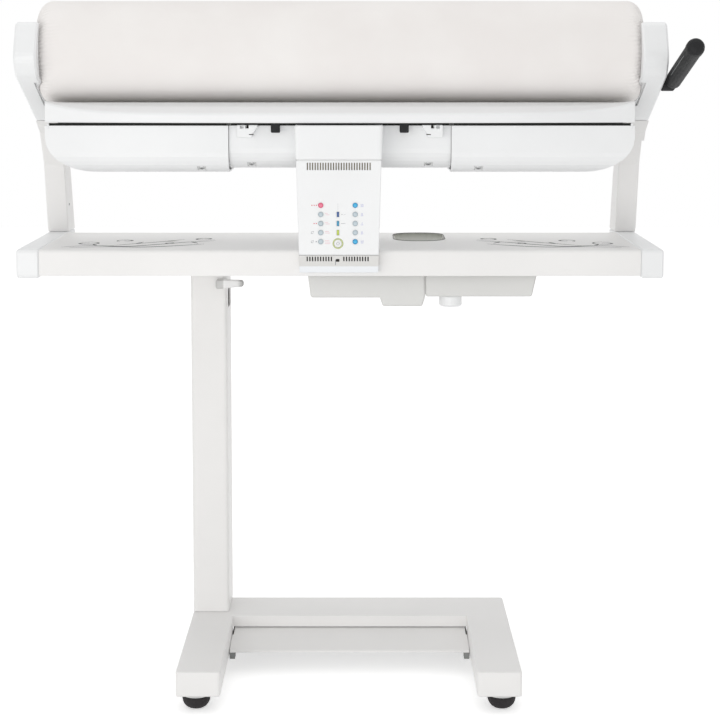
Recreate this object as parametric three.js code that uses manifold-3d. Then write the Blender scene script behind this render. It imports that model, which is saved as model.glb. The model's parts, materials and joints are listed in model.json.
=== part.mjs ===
// Flatwork ironer: a padded roller over a heated shoe, on a head that folds down a one-column stand.
// Millimetres. X runs along the roller, +Y away from the user, +Z up.
// While it is built, X = 0 is the middle of the roller, Y = 0 its axis and Z = 0 the floor.

import * as THREE from 'three';
import { mergeVertices } from 'three/addons/utils/BufferGeometryUtils.js';
import Module from 'manifold-3d';

const wasm = await Module();
wasm.setup();

// ---------------------------------------------------------------- driving dimensions

// clearances
const SEAT_GAP = 0.4; // left between pieces that touch
const RUNNING_GAP = 0.5; // left round what turns or slides

// roller
const ROLLER_LENGTH = 838; // over the gathered ends of the cloth
const ROLLER_RADIUS = 73; // over the cloth
const ROLLER_HEIGHT = 887; // axis above the floor
const PADDING = 9; // felt and cloth on the drum
const END_PADDING = 13; // padding over the drum's ends
const CLOTH_TUCK = 4; // cloth drawn in beyond its rounded end
const PLEAT_COUNT = 16;
const PLEAT_DEPTH = 0.8;
const CLOTH_ROUND = 26; // radius of the padded edge at each end
const CLOTH_CROWN = 0.3; // the middle is this much thicker than the flanks
const DRUM_WALL = 2;
const DRIVE_PLATE_INSET = 190; // drive plate, from the drum's right end
const AXLE_RADIUS = 8;
const AXLE_SEAT = 20; // depth of an axle's seat in the arm
const BUSH_WALL = 4.6;
const HUB_WALL = 6.5;
const HUB_INSET = 1; // hub's end inside the cloth's end
const HUB_REACH = 5; // hub behind its disc
const DISC_THICKNESS = 4;
const DISC_INSET = 6; // disc's face inside the drum's end
const MOTOR_RADIUS = 42;
const MOTOR_LENGTH = 120;
const GEARBOX_RADIUS = 34;

// side frames: an arm cover over a post, one each side
const FRAME_WIDTH = 31;
const ROLLER_LAP = 5.5; // roller's end stands this far into the arm
const POCKET_CLEARANCE = 3.5; // round and beyond the roller's end
const RIGHT_EXTRA = 3.5; // the right arm and the head of its post stand this much further out
const ARM_RISE = 42; // top of the arms above the roller's axis
const ARM_NOSE = -102; // foremost point of the arm
const ARM_NOSE_DROP = 7; // below the roller's axis
const ARM_CHIN = [-86, 32]; // bend under the nose: depth, and distance below the roller's axis
const ARM_CROWN = [-76, 44]; // front and back of the arm's top
const ARM_SHOULDER = 112; // bend behind the top
const ARM_NOSE_ROUND = 24;
const ARM_CROWN_ROUND = 12;
const ARM_BACK_ROUND = 50;
const SEAM_DROP = 97; // joint between arm cover and post, below the roller's axis
const SEAM_FRONT = 70;
const SEAM_BACK = 158;
const POST_FRONT_BENDS = [[134, 68], [112, 32], [102, 19]]; // depth, and distance below the seam
const POST_REAR_BENDS = [[176, 45], [196, 90]];
const POST_FOOT_INSET = 4; // rear edge of the post inside the end cap
const POST_STEP = 31.5; // the right post is wider from here up, below the seam
const POST_WALL = 2.5;
const RAIL_WIDTH = 22; // guide rail of the shoe, welded to the post
const RAIL_THICKNESS = 6;
const RAIL_FRONT = 114;
const RAIL_DROP = 38; // lower end of the rail below the seam
const RAIL_WELD = 1; // rail's overlap with the post

// shelf
const SHELF_DROP = 269; // shelf's top below the roller's axis
const SHELF_APRON = 36;
const SHELF_FRONT = -102;
const SHELF_BACK = 162;
const SHELF_SHEET = 1.5;
const SHELF_HEM = 8;
const CAP_BACK = 228;
const CAP_DROP = 3.6; // end caps reach this far below the apron
const CAP_PROUD = 0.5; // and stand this far over the shelf's top and front

// water filler and the housings under the shelf
const FILLER_X = 114;
const FILLER_WIDTH = 76;
const FILLER_FRONT = 24;
const FILLER_BACK = 150;
const FILLER_CORNER = 34;
const FILLER_DEPTH = 17;
const FILLER_WALL = 2;
const FILLER_HOLE = 12; // radius of the way into the tank
const FILLER_HOLE_X = 134;
const HOUSING_FRONT = -80;
const HOUSING_TAPER = 4; // lower edges drawn in by this much
const GENERATOR_LEFT = -45;
const GENERATOR_BACK = 45;
const GENERATOR_DROP = 33; // below the shelf's apron
const SUMP_DROP = 45;
const SUMP_LEFT = 55;
const HOUSING_SEAM = 118; // where the generator housing meets the tank
const TANK_RIGHT = 273;
const TANK_TAPER = 7;
const TANK_DROP = 31.5; // below the shelf's apron
const TANK_WALL = 3;
const DRAIN_X = 154;
const DRAIN_Y = -58;
const DRAIN_RADIUS = 16;
const DRAIN_HEIGHT = 15;

// heated shoe and its covers, as they stand when the shoe is lowered
const SHOE_DROP = 14.5; // travel between lowered and closed
const SHOE_CLEARANCE = 0.5; // shoe to cloth when closed
const SHOE_THICKNESS = 5;
const SHOE_HALF_ANGLE = 43; // degrees each side of straight down
const SHOE_INSET = 14; // shoe's ends inside the cloth's ends
const CASTING_THICKNESS = 11;
const CASTING_HALF_ANGLE = 38;
const CASTING_INSET = 10; // casting's ends inside the shoe's ends
const CASTING_RIB = 6;
const CASTING_RIB_OFFSET = 30;
const CASTING_RIB_CLEARANCE = 12; // ribs above the covers' lowest face
const COVER_LAP = 5; // covers reach this far above the lowest line of the casting
const COVER_HEIGHT = 65;
const COVER_DEPTH = 168;
const COVER_ROUND = 28; // rounding of the lower front and back edges
const COVER_WALL = 2.5;
const COVER_END_RUN = 70; // rounding of the outer lower corner, along X
const COVER_END_RISE = 48; // and along Z
const COVER_SEAM = 153; // middle cover to side cover
const MIDDLE_RECESS = 4; // middle cover behind the side covers
const MIDDLE_RISE = 5.5; // and its underside above theirs
const SCREW_WELL_RADIUS = 6;
const SCREW_WELL_ANGLE = 55; // degrees below the horizontal that a well faces
const SIDE_SCREW_X = 191;
const MIDDLE_SCREW_X = 122;
const CARRIER_WIDTH = 16;
const CARRIER_HEIGHT = 9;
const SLIDER_HEIGHT = 34;
const SLIDER_CHEEK = 4;

// finger guard in front of the shoe
const LIP_INSET = 1; // guard's ends inside the shoe's ends
const LIP_CLEARANCE = 3.5; // guard's back edge to the shoe's front edge
const LIP_END_FRONT = -88;
const LIP_BOW = 30; // how far the middle stands ahead of the ends
const LIP_DROP = 14; // front edge below the back edge
const LIP_GAP = 4.5; // underside above the covers' top
const LIP_STATIONS = 24;
const CLIP_LEFT = 120;
const CLIP_WIDTH = 21;
const CLIP_HEIGHT = 17;
const CLIP_DEPTH = 13;
const CLIP_NOTCH = [4.6, 4.5]; // width and height
const TAB_X = 88;
const TAB_WIDTH = 12.5;
const TAB_HEIGHT = 13.5;
const TAB_DEPTH = 5;

// control panel
const PANEL_X = -1.2; // middle of the panel
const PANEL_FRONT = -122;
const PANEL_RISE = 124; // top of the panel above the shelf
const PANEL_FACE_DROP = 5; // lower edge of its face below the shelf's top
const PANEL_CHAMFER_DROP = 21;
const PANEL_DROP = 29.5;
const PANEL_TOP_WIDTH = 116;
const PANEL_BOTTOM_WIDTH = 107.5;
const PANEL_SETBACK = 6; // foot of the panel behind its face
const FASCIA_THICKNESS = 4;
const HOUSING_BACK = -88;
const NECK_WIDTH = 106;
const NECK_HEIGHT = 26;
const NECK_FRONT_INSET = 1.6;
const COWL_TOP_WIDTH = 120;
const COWL_BOTTOM_WIDTH = 116.5;
const COWL_FRONT = -125;
const COWL_RISE = 1.5; // top above the covers' top
const COWL_WALL = 2.5;
const SLOT_WIDTH = 1.7;
const SLOT_HEIGHT = 10;
const TOP_SLOTS = 25;
const TOP_SLOT_PITCH = 3.54;
const TOP_SLOT_DROP = 8.2; // middle of the slots below the panel's top
const LOW_SLOTS = 10;
const LOW_SLOT_PITCH = 3.66;
const LOW_SLOT_HEIGHT = 6.5;
const LOW_SLOT_DROP = 5.5; // middle of the slots below the face
const LOW_SLOT_START = 8.5; // from the middle of their row
const LOW_SLOT_SHIFT = -1.7; // middle of the row from the panel's middle
const NOTCH_WIDTH = 5;
const NOTCH_HEIGHT = 4;
const KEY_RADIUS = 3.5;
const KEY_SHIFT = -1.2; // middle of the keys from the panel's middle
const KEY_COLUMN = 23.4; // key columns each side of that
const KEY_ROWS = 5;
const KEY_PITCH = 12.4;
const KEY_DROP = 61; // top row below the panel's top
const KEY_PROUD = 1;
const KEY_LENGTH = 7;
const LAMP_WIDTH = 2.6;
const LAMP_HEIGHT = 6.4;
const POWER_RADIUS = 5.6;
const POWER_DROP = 113.1; // below the panel's top
const POWER_PROUD = 1.6;

// hand lever on the right arm
const LEVER_STANDOFF = 15; // plane that the lever turns in, from the arm's face
const LEVER_AXIS_Y = -30;
const LEVER_DROP = 42; // lever's axis below the roller's axis
const LEVER_RISE = 15; // degrees above the horizontal, at rest
const LEVER_HUB_RADIUS = 11;
const LEVER_HUB_REACH = 4; // hub beyond the plane that the lever turns in
const LEVER_ROD_RADIUS = 5.5;
const LEVER_ROD_STOP = 20; // end of the rod inside the grip's end
const GRIP_RADIUS = 11.4;
const GRIP_START = 12.5;
const GRIP_LENGTH = 183.5;
const GRIP_FLUTES = 12;
const GRIP_FLUTE_DEPTH = 0.5;
const GRIP_FLUTED = 0.86; // share of the length that the flutes run
const COLLAR_RADIUS = 12.2;
const COLLAR_LENGTH = 9;
const GRIP_CAP = 10; // length of the domed end

// stand
const COLUMN_LEFT = -220.5;
const COLUMN_WIDTH = 53;
const COLUMN_FRONT = 62;
const COLUMN_DEPTH = 90;
const TUBE_WALL = 2.5;
const TUBE_CORNER = 5;
const COLUMN_SLOT = [24, 14, 29]; // from the front face, from the back face, and its height
const COLUMN_SLOT_DROP = 40; // lower end of the slot below the latch
const BASE_WIDTH = 466;
const BASE_FRONT = -211;
const BASE_BACK = 138;
const BASE_TOP = 59;
const BASE_HEIGHT = 34;
const BASE_WALL = 2.5;
const BASE_CROSS_DEPTH = 94;
const LEG_WIDTH = 60;
const FOOT_RADIUS = 19.5;
const FOOT_SOLE = 7; // radius of the flat sole
const FOOT_DOME = 17.5; // height of the dome
const FOOT_STUD = 6; // radius of the stud over it
const FOOT_INSET = 34; // foot centre from the base's front or back edge
const FOOT_SIDE_INSET = 25; // and from its side
const FOOT_BOSS = 12;
const BEAM_DEPTH = 82;
const BEAM_HEIGHT = 36;
const BEAM_END = 20; // beam beyond the fold pivot
const PIVOT_X = -40;
const PIVOT_DROP = 33; // fold pivot below the shelf's top
const PIVOT_RADIUS = 8;
const PIVOT_HEAD = 3;
const EAR_THICKNESS = 4;
const EAR_WIDTH = 56;
const EAR_GAP = 4; // ear to beam
const BRACKET_PLATE = 3;
const LATCH_X = -172;
const LATCH_DROP = 15; // latch below the beam
const LATCH_REACH = 30;
const LATCH_TAIL = 10.5; // latch behind its pin
const LATCH_THICKNESS = 11;
const LATCH_STANDOFF = 4;
const PEDAL_CLEARANCE = 1;
const PEDAL_FRONT = -42;
const PEDAL_BACK = 50;
const PEDAL_FRONT_HEIGHT = 34;
const PEDAL_BACK_HEIGHT = 41;
const PEDAL_SHEET = 2.5;
const PEDAL_LIP = 3.2;
const PEDAL_EAR = 3; // width of the ears that the rod goes through
const PEDAL_BUFFER = 7;
const PEDAL_AXIS_Y = 40;
const PEDAL_AXIS_Z = 33;
const PEDAL_ROD_RADIUS = 4;
const PEDAL_NOTCH = 42.4; // underside of the cross member's front wall

// derived places that several pieces share
const ROLLER_END = ROLLER_LENGTH / 2;
const ARM_INNER = ROLLER_END - ROLLER_LAP;
const ARM_OUTER = ARM_INNER + FRAME_WIDTH;
const POCKET_FLOOR = ROLLER_END + POCKET_CLEARANCE;
const ARM_TOP = ROLLER_HEIGHT + ARM_RISE;
const ARM_SEAM = ROLLER_HEIGHT - SEAM_DROP;
const SHELF_TOP = ROLLER_HEIGHT - SHELF_DROP;
const SHELF_BOTTOM = SHELF_TOP - SHELF_APRON;
const SHELF_UNDER = SHELF_TOP - SHELF_SHEET;
const DRUM_RADIUS = ROLLER_RADIUS - PADDING - SEAT_GAP;
const DRUM_BORE = DRUM_RADIUS - DRUM_WALL;
const DRUM_END = ROLLER_END - END_PADDING - SEAT_GAP;
const DISC_FACE = DRUM_END - DISC_INSET;
const DISC_BACK = DISC_FACE - DISC_THICKNESS;
const HUB_START = DISC_BACK - HUB_REACH;
const HUB_BORE = AXLE_RADIUS + RUNNING_GAP + BUSH_WALL + SEAT_GAP;
const SHOE_CENTRE = ROLLER_HEIGHT - SHOE_DROP;
const SHOE_END = ROLLER_END - SHOE_INSET;
const CASTING_END = SHOE_END - CASTING_INSET;
const LIP_END = SHOE_END - LIP_INSET;
const SHOE_INNER = ROLLER_RADIUS + SHOE_CLEARANCE;
const SHOE_OUTER = SHOE_INNER + SHOE_THICKNESS;
const CASTING_INNER = SHOE_OUTER + SEAT_GAP;
const CASTING_OUTER = CASTING_INNER + CASTING_THICKNESS;
const COVER_TOP = SHOE_CENTRE - CASTING_OUTER + COVER_LAP;
const COVER_BOTTOM = COVER_TOP - COVER_HEIGHT;
const COVER_FRONT = -COVER_DEPTH / 2;
const MIDDLE_FRONT = COVER_FRONT + MIDDLE_RECESS;
const LIP_UNDERSIDE = COVER_TOP + LIP_GAP;
const COWL_TOP = COVER_TOP + COWL_RISE;
const FASCIA_BACK = PANEL_FRONT + FASCIA_THICKNESS;
const PANEL_TOP = SHELF_TOP + PANEL_RISE;
const PANEL_FACE_BOTTOM = SHELF_TOP - PANEL_FACE_DROP;
const PANEL_CHAMFER_BOTTOM = SHELF_TOP - PANEL_CHAMFER_DROP;
const PANEL_BOTTOM = SHELF_TOP - PANEL_DROP;
const KEY_MIDDLE = PANEL_X + KEY_SHIFT;
const POWER_HEIGHT = PANEL_TOP - POWER_DROP;
const LEVER_X = ARM_OUTER + RIGHT_EXTRA + LEVER_STANDOFF;
const LEVER_AXIS_Z = ROLLER_HEIGHT - LEVER_DROP;
const BASE_LEFT = COLUMN_LEFT;
const BASE_RIGHT = BASE_LEFT + BASE_WIDTH;
const BASE_BOTTOM = BASE_TOP - BASE_HEIGHT;
const CROSS_FRONT = BASE_BACK - BASE_CROSS_DEPTH;
const PEDAL_LEFT = BASE_LEFT + LEG_WIDTH + PEDAL_CLEARANCE;
const PEDAL_RIGHT = BASE_RIGHT - LEG_WIDTH - PEDAL_CLEARANCE;
const COLUMN_RIGHT = COLUMN_LEFT + COLUMN_WIDTH;
const COLUMN_BACK = COLUMN_FRONT + COLUMN_DEPTH;
const PIVOT_HEIGHT = SHELF_TOP - PIVOT_DROP;
const BEAM_FRONT = COLUMN_FRONT + (COLUMN_DEPTH - BEAM_DEPTH) / 2;
const BEAM_BACK = BEAM_FRONT + BEAM_DEPTH;
const BEAM_BOTTOM = PIVOT_HEIGHT - BEAM_HEIGHT / 2;
const BEAM_TOP = PIVOT_HEIGHT + BEAM_HEIGHT / 2;
const LATCH_HEIGHT = BEAM_BOTTOM - LATCH_DROP;
const FILLER_MIDDLE = (FILLER_FRONT + FILLER_BACK) / 2;
const BOWL_UNDER = SHELF_TOP - FILLER_DEPTH - SEAT_GAP;
const CAP_TOP = SHELF_TOP + CAP_PROUD;
const GENERATOR_BOTTOM = SHELF_BOTTOM - GENERATOR_DROP;
const GENERATOR_SUMP = SHELF_BOTTOM - SUMP_DROP;
const TANK_BOTTOM = SHELF_BOTTOM - TANK_DROP;

// ---------------------------------------------------------------- solids

const DEGREE = Math.PI / 180;
const ARC_STEPS = 3;

/** Closed solid from a geometry: vertices merged, empty triangles dropped, faces turned outwards. */
function solidOf(geometry) {
  const bare = geometry.clone();
  bare.deleteAttribute('normal');
  bare.deleteAttribute('uv');
  const merged = mergeVertices(bare, 1e-4);
  const position = merged.attributes.position;
  const corners = merged.index.array;
  const kept = [];
  let volume = 0;
  for (let i = 0; i < corners.length; i += 3) {
    const [a, b, c] = [corners[i], corners[i + 1], corners[i + 2]];
    if (a === b || b === c || a === c) continue;
    kept.push([a, b, c]);
    const p = new THREE.Vector3().fromBufferAttribute(position, a);
    const q = new THREE.Vector3().fromBufferAttribute(position, b);
    const r = new THREE.Vector3().fromBufferAttribute(position, c);
    volume += p.dot(q.cross(r));
  }
  const triangles = volume < 0 ? kept.map(([a, b, c]) => [a, c, b]) : kept;
  return new wasm.Manifold(new wasm.Mesh({
    numProp: 3,
    vertProperties: new Float32Array(position.array),
    triVerts: new Uint32Array(triangles.flat()),
  }));
}

/** Outline with rounded corners. Each corner is [u, v, radius]. */
function outline(corners, steps = ARC_STEPS) {
  const points = [];
  corners.forEach(([u, v, radius = 0], i) => {
    const corner = new THREE.Vector2(u, v);
    if (radius === 0) {
      points.push(corner);
      return;
    }
    const [pu, pv] = corners[(i + corners.length - 1) % corners.length];
    const [nu, nv] = corners[(i + 1) % corners.length];
    const back = new THREE.Vector2(pu - u, pv - v).normalize();
    const ahead = new THREE.Vector2(nu - u, nv - v).normalize();
    const half = Math.acos(THREE.MathUtils.clamp(back.dot(ahead), -1, 1)) / 2;
    const reach = radius / Math.tan(half);
    const middle = back.clone().add(ahead).normalize();
    const centre = corner.clone().addScaledVector(middle, radius / Math.sin(half));
    const start = corner.clone().addScaledVector(back, reach).sub(centre).angle();
    const end = corner.clone().addScaledVector(ahead, reach).sub(centre).angle();
    const turn = Math.atan2(Math.sin(end - start), Math.cos(end - start));
    for (let k = 0; k <= steps; k += 1) {
      const angle = start + (turn * k) / steps;
      const ray = new THREE.Vector2(Math.cos(angle), Math.sin(angle));
      points.push(ray.multiplyScalar(radius).add(centre));
    }
  });
  return new THREE.Shape(points);
}

/** Rectangle with rounded corners. */
function rectangle(left, right, low, high, radius = 0, steps = ARC_STEPS) {
  return outline([
    [left, low, radius], [right, low, radius], [right, high, radius], [left, high, radius],
  ], steps);
}

/** Full circle as a polygon. */
function disc(u, v, radius, segments = 20) {
  const points = [];
  for (let k = 0; k < segments; k += 1) {
    const angle = (2 * Math.PI * k) / segments;
    points.push(new THREE.Vector2(u + radius * Math.cos(angle), v + radius * Math.sin(angle)));
  }
  return new THREE.Shape(points);
}

/** Places for a shape drawn in the plane square to an axis: (y, z) for x, (x, z) for y, (x, y) for z. */
const TO_AXIS = {
  x: (low) => new THREE.Matrix4().set(0, 0, 1, low, 1, 0, 0, 0, 0, 1, 0, 0, 0, 0, 0, 1),
  y: (low, high) => new THREE.Matrix4().set(1, 0, 0, 0, 0, 0, -1, high, 0, 1, 0, 0, 0, 0, 0, 1),
  z: (low) => new THREE.Matrix4().makeTranslation(0, 0, low),
};

/** Prism of a shape along an axis, its end edges bevelled inwards. */
function prism(axis, shape, low, high, bevel = 0) {
  const geometry = new THREE.ExtrudeGeometry(shape, {
    depth: high - low - 2 * bevel,
    steps: 1,
    bevelEnabled: bevel > 0,
    bevelThickness: bevel,
    bevelSize: bevel,
    bevelOffset: -bevel,
    bevelSegments: 1,
  });
  geometry.translate(0, 0, bevel);
  geometry.applyMatrix4(TO_AXIS[axis](low, high));
  return solidOf(geometry);
}

/** Block between two corners, its upright edges rounded. */
function block([x0, y0, z0], [x1, y1, z1], radius = 0) {
  return prism('z', rectangle(x0, x1, y0, y1, radius), z0, z1);
}

/** Revolve of [radius, height] points round an axis through a point of the plane square to it. */
function revolve(axis, profile, [u, v], segments = 20) {
  const geometry = new THREE.LatheGeometry(profile.map(([r, h]) => new THREE.Vector2(r, h)), segments);
  geometry.rotateX(Math.PI / 2);
  geometry.translate(u, v, 0);
  if (axis === 'x') geometry.applyMatrix4(TO_AXIS.x(0));
  if (axis === 'y') geometry.applyMatrix4(TO_AXIS.y(0, 0)).scale(1, -1, 1);
  return solidOf(geometry);
}

/** Round rod along an axis. */
function rod(axis, centre, radius, low, high, segments = 20) {
  return prism(axis, disc(centre[0], centre[1], radius, segments), low, high);
}

/** Skin through rings of points, closed at both ends, or joined end to end where it is a loop. */
function skin(rings, loop = false) {
  const count = rings[0].length;
  const positions = rings.flat().flat();
  const indices = [];
  const spans = loop ? rings.length : rings.length - 1;
  for (let i = 0; i < spans; i += 1) {
    const here = i * count;
    const next = ((i + 1) % rings.length) * count;
    for (let j = 0; j < count; j += 1) {
      const k = (j + 1) % count;
      indices.push(here + j, here + k, next + k, here + j, next + k, next + j);
    }
  }
  if (!loop) {
    const last = (rings.length - 1) * count;
    for (let j = 1; j < count - 1; j += 1) {
      indices.push(0, j + 1, j, last, last + j, last + j + 1);
    }
  }
  const geometry = new THREE.BufferGeometry();
  geometry.setAttribute('position', new THREE.Float32BufferAttribute(positions, 3));
  geometry.setIndex(indices);
  return solidOf(geometry);
}

const fuse = (first, ...others) => others.reduce((sum, solid) => sum.add(solid), first);
const cut = (first, ...others) => others.reduce((rest, solid) => rest.subtract(solid), first);

/** Low and high X of a span given from the middle outwards, on the left (-1) or right (+1) side. */
const span = (side, near, far) => (side < 0 ? [-far, -near] : [near, far]);

/** Corners mirrored to the left side, in an order that still runs the same way round. */
function mirrored(side, corners) {
  return side > 0 ? corners : corners.map(([u, ...rest]) => [-u, ...rest]).reverse();
}

const SIDES = [['left', -1], ['right', 1]];

// ---------------------------------------------------------------- materials and nodes

const FINISHES = {
  enamel: { color: 0xe9ebec, roughness: 0.45, metalness: 0 },
  casing: { color: 0xf1f3f4, roughness: 0.38, metalness: 0 },
  greyCasing: { color: 0xd9dad9, roughness: 0.5, metalness: 0 },
  cloth: { color: 0xf1edeb, roughness: 0.95, metalness: 0 },
  aluminium: { color: 0xc9cac8, roughness: 0.3, metalness: 1 },
  steel: { color: 0xa9abad, roughness: 0.35, metalness: 1 },
  bronze: { color: 0xa87c4a, roughness: 0.4, metalness: 1 },
  black: { color: 0x26272a, roughness: 0.6, metalness: 0 },
  rubber: { color: 0x1a1719, roughness: 0.85, metalness: 0 },
  keyGrey: { color: 0xb7c6cf, roughness: 0.35, metalness: 0 },
  keyRed: { color: 0xf0607f, roughness: 0.35, metalness: 0 },
  keyBlue: { color: 0x35b4e6, roughness: 0.35, metalness: 0 },
  lamp: { color: 0x3f9ad0, roughness: 0.3, metalness: 0 },
};

const ironer = new THREE.Group();

function add(name, finish, solid) {
  const mesh = solid.getMesh();
  const geometry = new THREE.BufferGeometry();
  geometry.setAttribute('position', new THREE.BufferAttribute(new Float32Array(mesh.vertProperties), 3));
  geometry.setIndex(new THREE.BufferAttribute(new Uint32Array(mesh.triVerts), 1));
  geometry.computeVertexNormals();
  const node = new THREE.Mesh(geometry, new THREE.MeshStandardMaterial(FINISHES[finish]));
  node.name = name;
  ironer.add(node);
}

// ---------------------------------------------------------------- stand

/** Plan of the base, a U that opens to the front, drawn in by an inset. */
function basePlan(inset, radius) {
  const left = BASE_LEFT + inset;
  const right = BASE_RIGHT - inset;
  const front = BASE_FRONT + inset;
  const cross = CROSS_FRONT + inset;
  const back = BASE_BACK - inset;
  const legLeft = BASE_LEFT + LEG_WIDTH - inset;
  const legRight = BASE_RIGHT - LEG_WIDTH + inset;
  return outline([
    [left, front, radius], [legLeft, front, radius], [legLeft, cross], [legRight, cross],
    [legRight, front, radius], [right, front, radius], [right, back, radius], [left, back, radius],
  ]);
}

const FOOT_PLACES = [
  ['front_left', BASE_LEFT + FOOT_SIDE_INSET, BASE_FRONT + FOOT_INSET],
  ['front_right', BASE_RIGHT - FOOT_SIDE_INSET, BASE_FRONT + FOOT_INSET],
  ['rear_left', BASE_LEFT + FOOT_SIDE_INSET, BASE_BACK - FOOT_INSET],
  ['rear_right', BASE_RIGHT - FOOT_SIDE_INSET, BASE_BACK - FOOT_INSET],
];

function baseFrame() {
  const skirt = prism('z', basePlan(0, 4), BASE_BOTTOM, BASE_TOP, 1.2);
  const hollow = prism('z', basePlan(BASE_WALL, 2), BASE_BOTTOM - 5, BASE_TOP - BASE_WALL);
  const bosses = FOOT_PLACES.map(([, x, y]) => rod('z', [x, y], FOOT_BOSS, BASE_BOTTOM, BASE_TOP - 1, 12));
  const notch = block(
    [PEDAL_LEFT - PEDAL_CLEARANCE, CROSS_FRONT - 1, BASE_BOTTOM - 5],
    [PEDAL_RIGHT + PEDAL_CLEARANCE, CROSS_FRONT + BASE_WALL + 1, PEDAL_NOTCH],
  );
  const rodHoles = rod(
    'x', [PEDAL_AXIS_Y, PEDAL_AXIS_Z], PEDAL_ROD_RADIUS + SEAT_GAP,
    PEDAL_LEFT - PEDAL_CLEARANCE - BASE_WALL - 1, PEDAL_RIGHT + PEDAL_CLEARANCE + BASE_WALL + 1, 12,
  );
  return cut(fuse(cut(skirt, hollow), ...bosses), notch, rodHoles);
}

add('base_frame', 'enamel', baseFrame());

/** Dome with a flat sole, under a stud that reaches the base. */
FOOT_PLACES.forEach(([place, x, y]) => {
  const top = BASE_BOTTOM - SEAT_GAP;
  const profile = [[0, 0]];
  const steps = 5;
  for (let k = 0; k <= steps; k += 1) {
    const angle = (k / steps) * 0.5 * Math.PI;
    profile.push([
      FOOT_SOLE + (FOOT_RADIUS - FOOT_SOLE) * Math.sin(angle), (FOOT_DOME - 2) * (1 - Math.cos(angle)),
    ]);
  }
  profile.push([FOOT_RADIUS, FOOT_DOME], [FOOT_STUD, FOOT_DOME], [FOOT_STUD, top], [0, top]);
  add(`foot_${place}`, 'rubber', revolve('z', profile, [x, y], 20));
});

function column() {
  const low = BASE_TOP + SEAT_GAP;
  const high = BEAM_BOTTOM - SEAT_GAP;
  const outer = rectangle(COLUMN_LEFT, COLUMN_RIGHT, COLUMN_FRONT, COLUMN_BACK, TUBE_CORNER);
  const bore = rectangle(
    COLUMN_LEFT + TUBE_WALL, COLUMN_RIGHT - TUBE_WALL, COLUMN_FRONT + TUBE_WALL, COLUMN_BACK - TUBE_WALL,
    TUBE_CORNER - TUBE_WALL,
  );
  const [slotFront, slotBack, slotHeight] = COLUMN_SLOT;
  const slotLow = LATCH_HEIGHT - COLUMN_SLOT_DROP;
  const slot = rectangle(COLUMN_FRONT + slotFront, COLUMN_BACK - slotBack, slotLow, slotLow + slotHeight, 6);
  return cut(prism('z', outer, low, high), prism('z', bore, low - 1, high + 1),
    prism('x', slot, COLUMN_RIGHT - 2 * TUBE_WALL, COLUMN_RIGHT + 1));
}

add('column', 'enamel', column());

function topBeam() {
  const right = PIVOT_X + BEAM_END;
  const side = outline([
    [COLUMN_LEFT, BEAM_BOTTOM, 2], [right, BEAM_BOTTOM, 12],
    [right, BEAM_TOP, 12], [COLUMN_LEFT, BEAM_TOP, 2],
  ]);
  const bore = rectangle(
    BEAM_FRONT + TUBE_WALL, BEAM_BACK - TUBE_WALL, BEAM_BOTTOM + TUBE_WALL, BEAM_TOP - TUBE_WALL, 2,
  );
  return cut(
    prism('y', side, BEAM_FRONT, BEAM_BACK, 1.5),
    prism('x', bore, COLUMN_LEFT - 1, right + 1),
    rod('y', [PIVOT_X, PIVOT_HEIGHT], PIVOT_RADIUS + SEAT_GAP, BEAM_FRONT - 1, BEAM_BACK + 1),
  );
}

add('top_beam', 'enamel', topBeam());

const EAR_FRONT = BEAM_FRONT - EAR_GAP - EAR_THICKNESS;
const EAR_BACK = BEAM_BACK + EAR_GAP + EAR_THICKNESS;

function pivotPin() {
  const low = EAR_FRONT - SEAT_GAP;
  const high = EAR_BACK + SEAT_GAP;
  const profile = [
    [0, low - PIVOT_HEAD], [PIVOT_RADIUS + 3, low - PIVOT_HEAD], [PIVOT_RADIUS + 3, low],
    [PIVOT_RADIUS, low], [PIVOT_RADIUS, high], [PIVOT_RADIUS + 3, high],
    [PIVOT_RADIUS + 3, high + PIVOT_HEAD], [0, high + PIVOT_HEAD],
  ];
  return revolve('y', profile, [PIVOT_X, PIVOT_HEIGHT]);
}

add('fold_pivot_pin', 'steel', pivotPin());

function latchLever() {
  const back = COLUMN_FRONT - LATCH_STANDOFF;
  const front = back - LATCH_THICKNESS;
  const left = LATCH_X - LATCH_TAIL;
  const right = LATCH_X + LATCH_REACH;
  const lever = outline([
    [left, LATCH_HEIGHT - 7, 3], [right, LATCH_HEIGHT - 3, 3],
    [right, LATCH_HEIGHT + 6, 4], [left, LATCH_HEIGHT + 7, 3],
  ]);
  return fuse(
    prism('y', lever, front, back, 1.5),
    rod('y', [LATCH_X, LATCH_HEIGHT], 5, front + 3, COLUMN_FRONT - SEAT_GAP, 14),
  );
}

add('fold_latch', 'casing', latchLever());

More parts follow.
